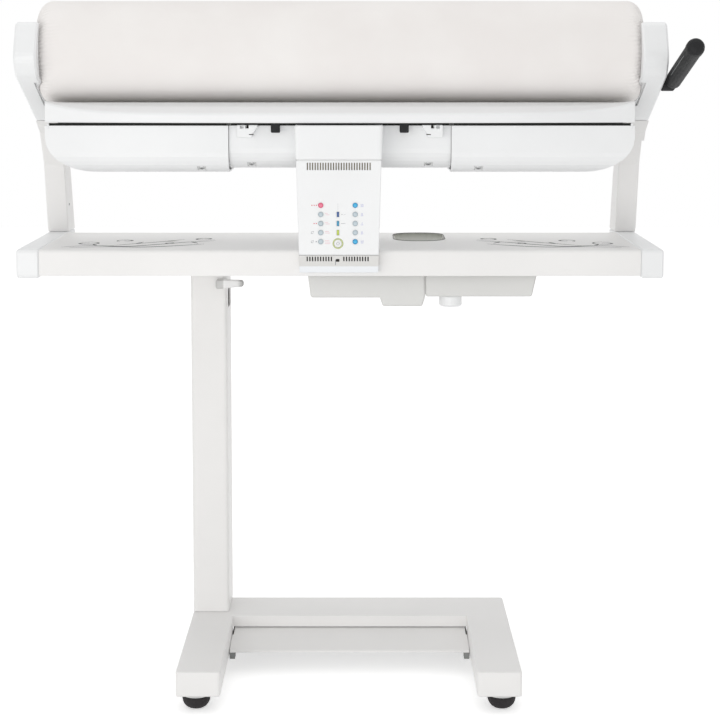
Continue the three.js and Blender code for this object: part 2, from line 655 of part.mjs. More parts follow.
function pedal() {
  const slope = (PEDAL_BACK_HEIGHT - PEDAL_FRONT_HEIGHT) / (PEDAL_BACK - PEDAL_FRONT);
  const top = (y) => PEDAL_FRONT_HEIGHT + slope * (y - PEDAL_FRONT);
  const sheet = outline([
    [PEDAL_FRONT, PEDAL_FRONT_HEIGHT - PEDAL_LIP],
    [PEDAL_FRONT + PEDAL_SHEET, PEDAL_FRONT_HEIGHT - PEDAL_LIP],
    [PEDAL_FRONT + PEDAL_SHEET, top(PEDAL_FRONT) - PEDAL_SHEET],
    [PEDAL_BACK, top(PEDAL_BACK) - PEDAL_SHEET],
    [PEDAL_BACK, top(PEDAL_BACK)], [PEDAL_FRONT, PEDAL_FRONT_HEIGHT, 2],
  ]);
  const radius = PEDAL_ROD_RADIUS + 4;
  const ear = outline([
    [PEDAL_AXIS_Y - 2 * radius, top(PEDAL_AXIS_Y - 2 * radius) - 1],
    [PEDAL_AXIS_Y - radius, PEDAL_AXIS_Z - radius, 5],
    [PEDAL_AXIS_Y + radius, PEDAL_AXIS_Z - radius, 5],
    [PEDAL_AXIS_Y + 2 * radius, top(PEDAL_AXIS_Y + 2 * radius) - 1],
  ]);
  const buffer = rectangle(
    PEDAL_FRONT + 1, PEDAL_FRONT + 16, PEDAL_FRONT_HEIGHT - 12, PEDAL_FRONT_HEIGHT - 1, 2,
  );
  const atEnds = (shape, width) => [
    prism('x', shape, PEDAL_LEFT, PEDAL_LEFT + width),
    prism('x', shape, PEDAL_RIGHT - width, PEDAL_RIGHT),
  ];
  const ears = atEnds(ear, PEDAL_EAR);
  const buffers = atEnds(buffer, PEDAL_BUFFER);
  const bore = rod(
    'x', [PEDAL_AXIS_Y, PEDAL_AXIS_Z], PEDAL_ROD_RADIUS + SEAT_GAP, PEDAL_LEFT - 1, PEDAL_RIGHT + 1, 12,
  );
  return cut(fuse(prism('x', sheet, PEDAL_LEFT, PEDAL_RIGHT), ...ears, ...buffers), bore);
}

add('pedal_plate', 'enamel', pedal());
add('pedal_rod', 'steel', rod(
  'x', [PEDAL_AXIS_Y, PEDAL_AXIS_Z], PEDAL_ROD_RADIUS,
  PEDAL_LEFT - PEDAL_CLEARANCE - BASE_WALL - 2, PEDAL_RIGHT + PEDAL_CLEARANCE + BASE_WALL + 2, 12,
));

// ---------------------------------------------------------------- shelf

const fillerPlan = (inset) => rectangle(
  FILLER_X - FILLER_WIDTH / 2 + inset, FILLER_X + FILLER_WIDTH / 2 - inset,
  FILLER_FRONT + inset, FILLER_BACK - inset, FILLER_CORNER - inset, 5,
);

function shelfPan() {
  const section = outline([
    [SHELF_FRONT, SHELF_BOTTOM], [SHELF_FRONT + SHELF_HEM, SHELF_BOTTOM],
    [SHELF_FRONT + SHELF_HEM, SHELF_BOTTOM + SHELF_SHEET],
    [SHELF_FRONT + SHELF_SHEET, SHELF_BOTTOM + SHELF_SHEET],
    [SHELF_FRONT + SHELF_SHEET, SHELF_UNDER, 3], [SHELF_BACK - SHELF_SHEET, SHELF_UNDER, 3],
    [SHELF_BACK - SHELF_SHEET, SHELF_BOTTOM], [SHELF_BACK, SHELF_BOTTOM],
    [SHELF_BACK, SHELF_TOP, 4.5], [SHELF_FRONT, SHELF_TOP, 4.5],
  ]);
  return cut(
    prism('x', section, -ARM_INNER + SEAT_GAP, ARM_INNER - SEAT_GAP),
    prism('z', fillerPlan(0), SHELF_UNDER - 1, SHELF_TOP + 1),
  );
}

add('shelf', 'enamel', shelfPan());

SIDES.forEach(([side, sign]) => {
  const profile = rectangle(SHELF_FRONT - CAP_PROUD, CAP_BACK, SHELF_BOTTOM - CAP_DROP, CAP_TOP, 5);
  const [low, high] = span(sign, ARM_INNER, ARM_OUTER);
  add(`shelf_end_cap_${side}`, 'casing', prism('x', profile, low, high, 2));
});

function foldBracket() {
  const left = PIVOT_X - EAR_WIDTH / 2;
  const right = PIVOT_X + EAR_WIDTH / 2;
  const top = SHELF_UNDER - SEAT_GAP;
  const ear = outline([
    [left, top], [PIVOT_X - 15, PIVOT_HEIGHT - 14, 12], [PIVOT_X + 15, PIVOT_HEIGHT - 14, 12], [right, top],
  ]);
  const bore = rod('y', [PIVOT_X, PIVOT_HEIGHT], PIVOT_RADIUS + SEAT_GAP, EAR_FRONT - 1, EAR_BACK + 1);
  return cut(fuse(
    block([left, EAR_FRONT, top - BRACKET_PLATE], [right, EAR_BACK, top]),
    prism('y', ear, EAR_FRONT, EAR_FRONT + EAR_THICKNESS),
    prism('y', ear, EAR_BACK - EAR_THICKNESS, EAR_BACK),
  ), bore);
}

add('fold_bracket', 'steel', foldBracket());

function fillerBowl() {
  const low = SHELF_TOP - FILLER_DEPTH;
  const high = SHELF_TOP - 0.6;
  const outer = prism('z', fillerPlan(SEAT_GAP), low, high + 4, 4);
  const above = block(
    [FILLER_X - FILLER_WIDTH, FILLER_FRONT - 10, high], [FILLER_X + FILLER_WIDTH, FILLER_BACK + 10, high + 9],
  );
  const inner = prism('z', fillerPlan(SEAT_GAP + FILLER_WALL), low + FILLER_WALL, high + 8, 3);
  return cut(outer, above, inner, rod('z', [FILLER_HOLE_X, FILLER_MIDDLE], FILLER_HOLE, low - 1, high));
}

add('filler_bowl', 'greyCasing', fillerBowl());

const bowlRoom = () => prism('z', fillerPlan(0), BOWL_UNDER, SHELF_TOP);
const HOUSING_TOP = SHELF_UNDER - SEAT_GAP;

function generatorHousing() {
  const right = HOUSING_SEAM - SEAT_GAP / 2;
  const front = outline([
    [GENERATOR_LEFT, HOUSING_TOP], [GENERATOR_LEFT, SHELF_BOTTOM],
    [GENERATOR_LEFT + HOUSING_TAPER, GENERATOR_BOTTOM, 4], [SUMP_LEFT, GENERATOR_BOTTOM],
    [SUMP_LEFT + HOUSING_TAPER, GENERATOR_SUMP, 3], [right - HOUSING_TAPER, GENERATOR_SUMP, 3],
    [right, GENERATOR_BOTTOM], [right, HOUSING_TOP],
  ]);
  return cut(prism('y', front, HOUSING_FRONT, GENERATOR_BACK, 2), bowlRoom());
}

add('steam_generator_housing', 'greyCasing', generatorHousing());

function waterTank() {
  const left = HOUSING_SEAM + SEAT_GAP / 2;
  const tankOutline = (inset) => outline([
    [left + inset, HOUSING_TOP - inset], [left + inset, TANK_BOTTOM + inset, 3],
    [TANK_RIGHT - TANK_TAPER - inset, TANK_BOTTOM + inset, 4], [TANK_RIGHT - inset, SHELF_BOTTOM],
    [TANK_RIGHT - inset, HOUSING_TOP - inset],
  ]);
  const back = FILLER_BACK + 4;
  const shellRoof = BOWL_UNDER - TANK_WALL;
  const hollow = cut(
    prism('y', tankOutline(TANK_WALL), HOUSING_FRONT + TANK_WALL, back - TANK_WALL),
    block([FILLER_X, FILLER_FRONT - TANK_WALL, shellRoof], [FILLER_X + FILLER_WIDTH, back, HOUSING_TOP + 1]),
  );
  const inlet = rod('z', [FILLER_HOLE_X, FILLER_MIDDLE], FILLER_HOLE, shellRoof - 2, SHELF_TOP);
  return cut(prism('y', tankOutline(0), HOUSING_FRONT, back, 2), bowlRoom(), hollow, inlet);
}

add('water_tank', 'greyCasing', waterTank());

function drainCap() {
  const top = TANK_BOTTOM - SEAT_GAP;
  const low = top - DRAIN_HEIGHT;
  const profile = [
    [0, low], [DRAIN_RADIUS - 2, low], [DRAIN_RADIUS, low + 2],
    [DRAIN_RADIUS, top - 1], [DRAIN_RADIUS - 1, top], [0, top],
  ];
  return revolve('z', profile, [DRAIN_X, DRAIN_Y], 24);
}

add('drain_cap', 'casing', drainCap());

// ---------------------------------------------------------------- side frames

/** Front and back edges of a post as [y, z] points: the front from the shelf up, the back downwards. */
const belowSeam = (bends) => bends.map(([y, drop]) => [y, ARM_SEAM - drop]);
const POST_FRONT = [[SHELF_BACK, SHELF_TOP], ...belowSeam(POST_FRONT_BENDS), [SEAM_FRONT, ARM_SEAM]];
const POST_REAR = [
  [SEAM_BACK, ARM_SEAM], ...belowSeam(POST_REAR_BENDS), [CAP_BACK - POST_FOOT_INSET, SHELF_TOP],
];

/** Guide rail of the shoe: part of the post up to the seam, and clear of the arm cover above it. */
function guideRail(sign) {
  const rail = (reach, low, high) => {
    const [left, right] = span(sign, ARM_INNER - RAIL_THICKNESS, ARM_INNER + reach);
    return block([left, RAIL_FRONT, low], [right, RAIL_FRONT + RAIL_WIDTH, high]);
  };
  return fuse(
    rail(RAIL_WELD, ARM_SEAM - RAIL_DROP, ARM_SEAM - SEAT_GAP),
    rail(-SEAT_GAP, ARM_SEAM - 1, ARM_SEAM + SLIDER_HEIGHT),
  );
}

/** Hollow post, open at its foot and at the seam. The right one is wider from the step upwards. */
function post(sign) {
  const [left, right] = span(sign, ARM_INNER, ARM_OUTER);
  const beyond = 9;
  const front = POST_FRONT.map(([y, z]) => [y + POST_WALL, z]);
  const rear = POST_REAR.map(([y, z]) => [y - POST_WALL, z]);
  const inner = outline([
    ...front, [front.at(-1)[0], ARM_SEAM + beyond], [rear[0][0], ARM_SEAM + beyond],
    ...rear, [rear.at(-1)[0], SHELF_TOP - beyond], [front[0][0], SHELF_TOP - beyond],
  ]);
  const kept = block([left, 0, CAP_TOP + SEAT_GAP], [right, CAP_BACK, ARM_SEAM - SEAT_GAP]);
  const view = outline([...POST_FRONT, ...POST_REAR]);
  const shell = cut(
    prism('x', view, left, right, 1.5),
    prism('x', inner, left + POST_WALL, right - POST_WALL),
  );
  const whole = fuse(shell.intersect(kept), guideRail(sign));
  if (sign < 0) return whole;
  const head = block(
    [right - POST_WALL, 0, ARM_SEAM - POST_STEP], [right + RIGHT_EXTRA, CAP_BACK, ARM_SEAM - SEAT_GAP],
  );
  return fuse(whole, prism('x', view, right - POST_WALL, right + RIGHT_EXTRA, 1).intersect(head));
}

/** Arm cover, with a pocket that the roller's end stands in and a seat for the axle. */
function armCover(sign) {
  const [left, right] = span(sign, ARM_INNER, ARM_OUTER + (sign > 0 ? RIGHT_EXTRA : 0));
  const noseHeight = ROLLER_HEIGHT - ARM_NOSE_DROP;
  const [chin, chinDrop] = ARM_CHIN;
  const [crownFront, crownBack] = ARM_CROWN;
  const profile = outline([
    [SEAM_FRONT, ARM_SEAM], [chin, ROLLER_HEIGHT - chinDrop, ARM_NOSE_ROUND],
    [ARM_NOSE, noseHeight, ARM_NOSE_ROUND], [crownFront, ARM_TOP, ARM_CROWN_ROUND],
    [crownBack, ARM_TOP, ARM_BACK_ROUND], [ARM_SHOULDER, noseHeight, ARM_BACK_ROUND],
    [SEAM_BACK, ARM_SEAM],
  ], 5);
  const [pocketLow, pocketHigh] = span(sign, ARM_INNER - 1, POCKET_FLOOR);
  const [seatLow, seatHigh] = span(sign, ARM_INNER - 1, ARM_INNER + AXLE_SEAT + SEAT_GAP);
  return cut(
    prism('x', profile, left, right, 2.5),
    rod('x', [0, ROLLER_HEIGHT], ROLLER_RADIUS + POCKET_CLEARANCE, pocketLow, pocketHigh, 40),
    rod('x', [0, ROLLER_HEIGHT], AXLE_RADIUS + SEAT_GAP, seatLow, seatHigh),
  );
}

SIDES.forEach(([side, sign]) => {
  add(`post_${side}`, 'enamel', post(sign));
  add(`arm_cover_${side}`, 'casing', armCover(sign));
});

// ---------------------------------------------------------------- roller

const ROLLER_AXIS = [0, ROLLER_HEIGHT];
const ringProfile = (inner, outer, low, high) => [
  [inner, low], [outer, low], [outer, high], [inner, high], [inner, low],
];

/** Drum with the drive plate welded inside it, near its right end. */
function drum() {
  const plate = DRUM_END - DRIVE_PLATE_INSET;
  const bore = AXLE_RADIUS - 2 + SEAT_GAP;
  return revolve('x', [
    [DRUM_BORE, -DRUM_END], [DRUM_RADIUS, -DRUM_END], [DRUM_RADIUS, DRUM_END], [DRUM_BORE, DRUM_END],
    [DRUM_BORE, plate + DISC_THICKNESS], [bore, plate + DISC_THICKNESS], [bore, plate], [DRUM_BORE, plate],
    [DRUM_BORE, -DRUM_END],
  ], ROLLER_AXIS, 40);
}

function endDisc(sign) {
  const hubEnd = ROLLER_END - HUB_INSET;
  const hubOuter = HUB_BORE + HUB_WALL;
  const rim = DRUM_BORE - SEAT_GAP;
  const profile = [
    [HUB_BORE, HUB_START], [hubOuter, HUB_START], [hubOuter, DISC_BACK], [rim, DISC_BACK], [rim, DISC_FACE],
    [hubOuter, DISC_FACE], [hubOuter, hubEnd], [HUB_BORE, hubEnd], [HUB_BORE, HUB_START],
  ];
  return revolve('x', profile.map(([r, x]) => [r, sign * x]), ROLLER_AXIS, 24);
}

function bush(sign) {
  const profile = ringProfile(AXLE_RADIUS + RUNNING_GAP, HUB_BORE - SEAT_GAP, HUB_START - 2, ROLLER_END);
  return revolve('x', profile.map(([r, x]) => [r, sign * x]), ROLLER_AXIS, 20);
}

function idleAxle() {
  const end = ARM_INNER + AXLE_SEAT;
  const inside = HUB_START - 3;
  return revolve('x', [
    [0, -end], [AXLE_RADIUS, -end], [AXLE_RADIUS, -inside],
    [AXLE_RADIUS + 3, -inside], [AXLE_RADIUS + 3, 4 - inside], [0, 4 - inside],
  ], ROLLER_AXIS);
}

function driveMotor() {
  const end = ARM_INNER + AXLE_SEAT;
  const can = HUB_START - 8;
  const gearbox = can - MOTOR_LENGTH;
  const shaft = DRUM_END - DRIVE_PLATE_INSET;
  const mouth = shaft + DISC_THICKNESS + 8;
  return revolve('x', [
    [0, end], [AXLE_RADIUS, end], [AXLE_RADIUS, can], [MOTOR_RADIUS - 4, can], [MOTOR_RADIUS, can - 4],
    [MOTOR_RADIUS, gearbox], [GEARBOX_RADIUS, gearbox], [GEARBOX_RADIUS, mouth], [AXLE_RADIUS - 2, mouth],
    [AXLE_RADIUS - 2, shaft - 3], [0, shaft - 3],
  ], ROLLER_AXIS, 24);
}

/** Padded cloth: a sleeve with a slight crown, its pleated ends drawn in over the drum's ends. */
function rollerCloth() {
  const half = ROLLER_END;
  const inner = ROLLER_RADIUS - PADDING;
  const flank = ROLLER_RADIUS - CLOTH_CROWN;
  const shoulder = flank - PLEAT_DEPTH - CLOTH_ROUND;
  const mouth = shoulder - CLOTH_TUCK;
  const outside = [[half, mouth]];
  for (let k = 0; k <= 4; k += 1) {
    const angle = (k / 4) * 0.5 * Math.PI;
    outside.push([
      half - CLOTH_ROUND + CLOTH_ROUND * Math.cos(angle), shoulder + CLOTH_ROUND * Math.sin(angle),
    ]);
  }
  outside.push([half * 0.6, flank]);
  const insideEnd = half - END_PADDING;
  const inside = [[insideEnd, inner], [insideEnd, mouth]];
  const halfProfile = [...outside, [0, ROLLER_RADIUS], ...outside.map(([x, r]) => [-x, r]).reverse()];
  const profile = [...halfProfile, ...inside.map(([x, r]) => [-x, r]).reverse(), ...inside];
  const segments = PLEAT_COUNT * 4;
  const rings = [];
  for (let i = 0; i < segments; i += 1) {
    const angle = (2 * Math.PI * i) / segments;
    const wave = Math.cos(PLEAT_COUNT * angle);
    rings.push(profile.map(([x, r], j) => {
      const shown = j < halfProfile.length;
      const gathered = shown && Math.abs(x) > half - CLOTH_ROUND - 1;
      const radius = gathered ? r + PLEAT_DEPTH * wave : r;
      return [x, radius * Math.cos(angle), ROLLER_HEIGHT + radius * Math.sin(angle)];
    }));
  }
  return skin(rings, true);
}

add('roller_drum', 'aluminium', drum());
add('roller_cloth', 'cloth', rollerCloth());
add('idle_axle', 'steel', idleAxle());
add('drive_motor', 'steel', driveMotor());
SIDES.forEach(([side, sign]) => {
  add(`drum_end_disc_${side}`, 'aluminium', endDisc(sign));
  add(`drum_bush_${side}`, 'bronze', bush(sign));
});

// ---------------------------------------------------------------- heated shoe

/** Band between two radii round the closed shoe's centre, lowered with the shoe. */
function arcBand(inner, outer, halfAngle, steps = 14) {
  const points = [];
  const at = (radius, degrees) => new THREE.Vector2(
    radius * Math.sin(degrees * DEGREE), SHOE_CENTRE - radius * Math.cos(degrees * DEGREE),
  );
  for (let k = 0; k <= steps; k += 1) {
    points.push(at(outer, halfAngle * ((2 * k) / steps - 1)));
  }
  for (let k = steps; k >= 0; k -= 1) {
    points.push(at(inner, halfAngle * ((2 * k) / steps - 1)));
  }
  return new THREE.Shape(points);
}

add('shoe_plate', 'aluminium', prism(
  'x', arcBand(SHOE_INNER, SHOE_OUTER, SHOE_HALF_ANGLE), -SHOE_END, SHOE_END,
));

function heaterCasting() {
  const top = SHOE_CENTRE - CASTING_OUTER + 6;
  const low = COVER_BOTTOM + CASTING_RIB_CLEARANCE;
  const ribHalf = SHOE_END - COVER_END_RUN;
  const ribs = [-1, 1].map((sign) => block(
    [-ribHalf, sign * CASTING_RIB_OFFSET - CASTING_RIB / 2, low],
    [ribHalf, sign * CASTING_RIB_OFFSET + CASTING_RIB / 2, top],
  ));
  const band = arcBand(CASTING_INNER, CASTING_OUTER, CASTING_HALF_ANGLE);
  return fuse(prism('x', band, -CASTING_END, CASTING_END), ...ribs);
}

add('heater_casting', 'aluminium', heaterCasting());

/** Box with rounded lower edges front and back, drawn in by an inset and open upwards where hollow. */
function coverBody(frontView, recess, rise, inset, top) {
  const depth = COVER_DEPTH / 2 - recess - inset;
  const bottom = COVER_BOTTOM + rise + inset;
  const radius = COVER_ROUND - inset;
  const sideView = outline([
    [-depth, top], [-depth, bottom, radius], [depth, bottom, radius], [depth, top],
  ], 7);
  return prism('x', sideView, -SHOE_END - 1, SHOE_END + 1)
    .intersect(prism('y', frontView, -COVER_DEPTH, COVER_DEPTH));
}

/** Round well for a screw, square to the rounded lower edge of a cover. */
function screwWell(x, recess, rise) {
  const angle = SCREW_WELL_ANGLE * DEGREE;
  const geometry = new THREE.CylinderGeometry(SCREW_WELL_RADIUS, SCREW_WELL_RADIUS, 4 * COVER_WALL, 16);
  geometry.rotateX(angle - Math.PI / 2);
  geometry.translate(
    x, COVER_FRONT + recess + COVER_ROUND * (1 - Math.cos(angle)),
    COVER_BOTTOM + rise + COVER_ROUND * (1 - Math.sin(angle)),
  );
  return solidOf(geometry);
}

function sideCover(sign) {
  const near = COVER_SEAM + SEAT_GAP / 2;
  const far = SHOE_END;
  const frontView = (inset, top, mouth) => {
    const low = COVER_BOTTOM + inset;
    const corners = [[far - inset, top], [near - mouth, top], [near - mouth, low]];
    const steps = 7;
    for (let k = 0; k <= steps; k += 1) {
      const angle = ((k / steps) - 1) * 0.5 * Math.PI;
      corners.push([
        far - COVER_END_RUN + (COVER_END_RUN - inset) * Math.cos(angle),
        COVER_BOTTOM + COVER_END_RISE + (COVER_END_RISE - inset) * Math.sin(angle),
      ]);
    }
    return outline(mirrored(sign, corners));
  };
  return cut(
    coverBody(frontView(0, COVER_TOP, 0), 0, 0, 0, COVER_TOP),
    coverBody(frontView(COVER_WALL, COVER_TOP + 9, 5), 0, 0, COVER_WALL, COVER_TOP + 9),
    screwWell(sign * SIDE_SCREW_X, 0, 0),
  );
}

function middleCover() {
  const half = COVER_SEAM - SEAT_GAP / 2;
  const low = COVER_BOTTOM + MIDDLE_RISE;
  return cut(
    coverBody(rectangle(-half, half, low, COVER_TOP), MIDDLE_RECESS, MIDDLE_RISE, 0, COVER_TOP),
    coverBody(
      rectangle(-half - 5, half + 5, low + COVER_WALL, COVER_TOP + 9),
      MIDDLE_RECESS, MIDDLE_RISE, COVER_WALL, COVER_TOP + 9,
    ),
    screwWell(-MIDDLE_SCREW_X, MIDDLE_RECESS, MIDDLE_RISE),
    screwWell(MIDDLE_SCREW_X, MIDDLE_RECESS, MIDDLE_RISE),
  );
}

add('shoe_cover_middle', 'casing', middleCover());
SIDES.forEach(([side, sign]) => {
  add(`shoe_cover_${side}`, 'casing', sideCover(sign));
});

/** Arm from the casting's back edge to a slider that runs on the post's rail. */
function shoeCarrier(sign) {
  const low = COVER_TOP + 1;
  const inner = CASTING_END - CARRIER_WIDTH;
  const [left, right] = span(sign, inner, CASTING_END);
  const start = CASTING_OUTER * Math.sin(CASTING_HALF_ANGLE * DEGREE) + SEAT_GAP;
  const railFace = ARM_INNER - RAIL_THICKNESS - RUNNING_GAP;
  const back = RAIL_FRONT + RAIL_WIDTH + RUNNING_GAP + SLIDER_CHEEK;
  const front = RAIL_FRONT - RUNNING_GAP - SLIDER_CHEEK;
  const wrap = outline(mirrored(sign, [
    [inner, front], [ARM_INNER - 2, front],
    [ARM_INNER - 2, front + SLIDER_CHEEK], [railFace, front + SLIDER_CHEEK],
    [railFace, back - SLIDER_CHEEK], [ARM_INNER - 2, back - SLIDER_CHEEK],
    [ARM_INNER - 2, back], [inner, back],
  ]));
  return fuse(
    block([left, start, low], [right, front + 1, low + CARRIER_HEIGHT]),
    prism('z', wrap, low + CARRIER_HEIGHT - SLIDER_HEIGHT, low + CARRIER_HEIGHT),
  );
}

SIDES.forEach(([side, sign]) => {
  add(`shoe_carrier_${side}`, 'steel', shoeCarrier(sign));
});

/** Cowl over the panel's neck, open at its foot and its back, narrowing downwards. */
function cowl() {
  const low = PANEL_TOP + 1;
  const back = MIDDLE_FRONT - SEAT_GAP;
  const body = (inset, rear, bottom, top, bevel) => {
    const widthAt = (z) => THREE.MathUtils.mapLinear(z, low, COWL_TOP, COWL_BOTTOM_WIDTH, COWL_TOP_WIDTH);
    const halfAt = (z) => widthAt(z) / 2 - inset;
    const wide = halfAt(top);
    const plan = outline([
      [PANEL_X - wide, rear], [PANEL_X - wide, COWL_FRONT + inset, 5 - inset],
      [PANEL_X + wide, COWL_FRONT + inset, 5 - inset], [PANEL_X + wide, rear],
    ]);
    const view = outline([
      [PANEL_X - halfAt(bottom), bottom], [PANEL_X + halfAt(bottom), bottom],
      [PANEL_X + halfAt(top), top], [PANEL_X - halfAt(top), top],
    ]);
    return prism('z', plan, bottom, top, bevel).intersect(prism('y', view, COWL_FRONT - 1, rear + 1));
  };
  return cut(body(0, back, low, COWL_TOP, 1), body(COWL_WALL, back + 5, low - 5, COWL_TOP - COWL_WALL, 0));
}

add('panel_cowl', 'casing', cowl());

function guardClip(sign) {
  const low = COWL_TOP - 0.5 - CLIP_HEIGHT;
  const high = low + CLIP_HEIGHT;
  const inner = CLIP_LEFT;
  const outer = CLIP_LEFT + CLIP_WIDTH;
  const plate = outline(mirrored(sign, [
    [outer, low, 2], [outer, high, 1], [inner - 7, high],
    [inner - 7, high - 3], [inner, low + 4], [inner, low, 2],
  ]));
  const back = MIDDLE_FRONT - SEAT_GAP;
  const [notchWidth, notchHeight] = CLIP_NOTCH;
  const notches = [0.33, 0.67].map((share) => {
    const middle = sign * (inner + share * CLIP_WIDTH);
    return prism(
      'y', rectangle(middle - notchWidth / 2, middle + notchWidth / 2, high - notchHeight, high + 1),
      back - CLIP_DEPTH - 1, back - CLIP_DEPTH / 2,
    );
  });
  return cut(prism('y', plate, back - CLIP_DEPTH, back, 0.6), ...notches);
}

SIDES.forEach(([side, sign]) => {
  add(`guard_clip_${side}`, 'casing', guardClip(sign));
});

// ---------------------------------------------------------------- finger guard

/** Section of the guard at a share of its half length, as [x, y, z] points. */
function guardSection(share) {
  const x = share * LIP_END;
  const bow = 1 - share * share;
  const front = LIP_END_FRONT - LIP_BOW * bow;
  const back = -SHOE_OUTER * Math.sin(SHOE_HALF_ANGLE * DEGREE) - LIP_CLEARANCE;
  const backHeight = SHOE_CENTRE - SHOE_INNER * Math.cos(SHOE_HALF_ANGLE * DEGREE);
  const rise = (LIP_DROP + 1) * share ** 8;
  const frontTop = backHeight - LIP_DROP + rise;
  const low = LIP_UNDERSIDE;
  const heel = front + 6 + 22 * bow;
  return [
    [x, back, backHeight], [x, back - 3, backHeight - 7],
    [x, heel, low], [x, front + 1.5, low],
    [x, front, low + 1.5], [x, front, frontTop - 2], [x, front + 2, frontTop + 0.6],
    [x, (front + back) / 2, (frontTop + backHeight) / 2 + 2],
  ];
}

function fingerGuard() {
  const rings = [];
  for (let k = 0; k <= LIP_STATIONS; k += 1) {
    rings.push(guardSection(Math.sin((k / LIP_STATIONS - 0.5) * Math.PI)));
  }
  return skin(rings);
}

add('finger_guard', 'casing', fingerGuard());

SIDES.forEach(([side, sign]) => {
  const middle = sign * TAB_X;
  const top = LIP_UNDERSIDE - SEAT_GAP;
  const shape = rectangle(middle - TAB_WIDTH / 2, middle + TAB_WIDTH / 2, top - TAB_HEIGHT, top, 1.5, 2);
  const back = MIDDLE_FRONT - 11;
  add(`switch_tab_${side}`, 'black', prism('y', shape, back - TAB_DEPTH, back, 0.6));
});

// ---------------------------------------------------------------- control panel

/** Half width of the panel at a height: it narrows towards its foot. */
function panelHalf(z) {
  return THREE.MathUtils.mapLinear(z, PANEL_BOTTOM, PANEL_TOP, PANEL_BOTTOM_WIDTH, PANEL_TOP_WIDTH) / 2;
}

const panelView = (low, high) => outline([
  [PANEL_X - panelHalf(low), low], [PANEL_X + panelHalf(low), low],
  [PANEL_X + panelHalf(high), high], [PANEL_X - panelHalf(high), high],
]);

const KEY_HEIGHTS = Array.from(
  { length: KEY_ROWS }, (unused, row) => PANEL_TOP - KEY_DROP - row * KEY_PITCH,
);

function ventSlots(count, pitch, start, centre, height, low, high) {
  return Array.from({ length: count }, (unused, i) => {
    const x = start + i * pitch;
    const slot = rectangle(x - SLOT_WIDTH / 2, x + SLOT_WIDTH / 2, centre - height / 2, centre + height / 2);
    return prism('y', slot, low, high);
  });
}

const lampHeights = KEY_HEIGHTS.slice(1, 4);

function fascia() {
  const low = PANEL_FRONT - 1;
  const high = FASCIA_BACK + 1;
  const keyHoles = KEY_HEIGHTS.flatMap((z) => [-KEY_COLUMN, KEY_COLUMN].map(
    (x) => rod('y', [KEY_MIDDLE + x, z], KEY_RADIUS + RUNNING_GAP, low, high, 12),
  ));
  const wide = LAMP_WIDTH / 2 + SEAT_GAP;
  const tall = LAMP_HEIGHT / 2 + SEAT_GAP;
  const lampHoles = lampHeights.map((z) => prism(
    'y', rectangle(KEY_MIDDLE - wide, KEY_MIDDLE + wide, z - tall, z + tall), low, high,
  ));
  const topStart = PANEL_X - ((TOP_SLOTS - 1) * TOP_SLOT_PITCH) / 2;
  return cut(
    prism('y', panelView(PANEL_FACE_BOTTOM, PANEL_TOP), PANEL_FRONT, FASCIA_BACK, 0.8),
    ...keyHoles, ...lampHoles,
    rod('y', [KEY_MIDDLE, POWER_HEIGHT], POWER_RADIUS + RUNNING_GAP, low, high, 16),
    ...ventSlots(TOP_SLOTS, TOP_SLOT_PITCH, topStart, PANEL_TOP - TOP_SLOT_DROP, SLOT_HEIGHT, low, high),
  );
}

add('panel_fascia', 'casing', fascia());

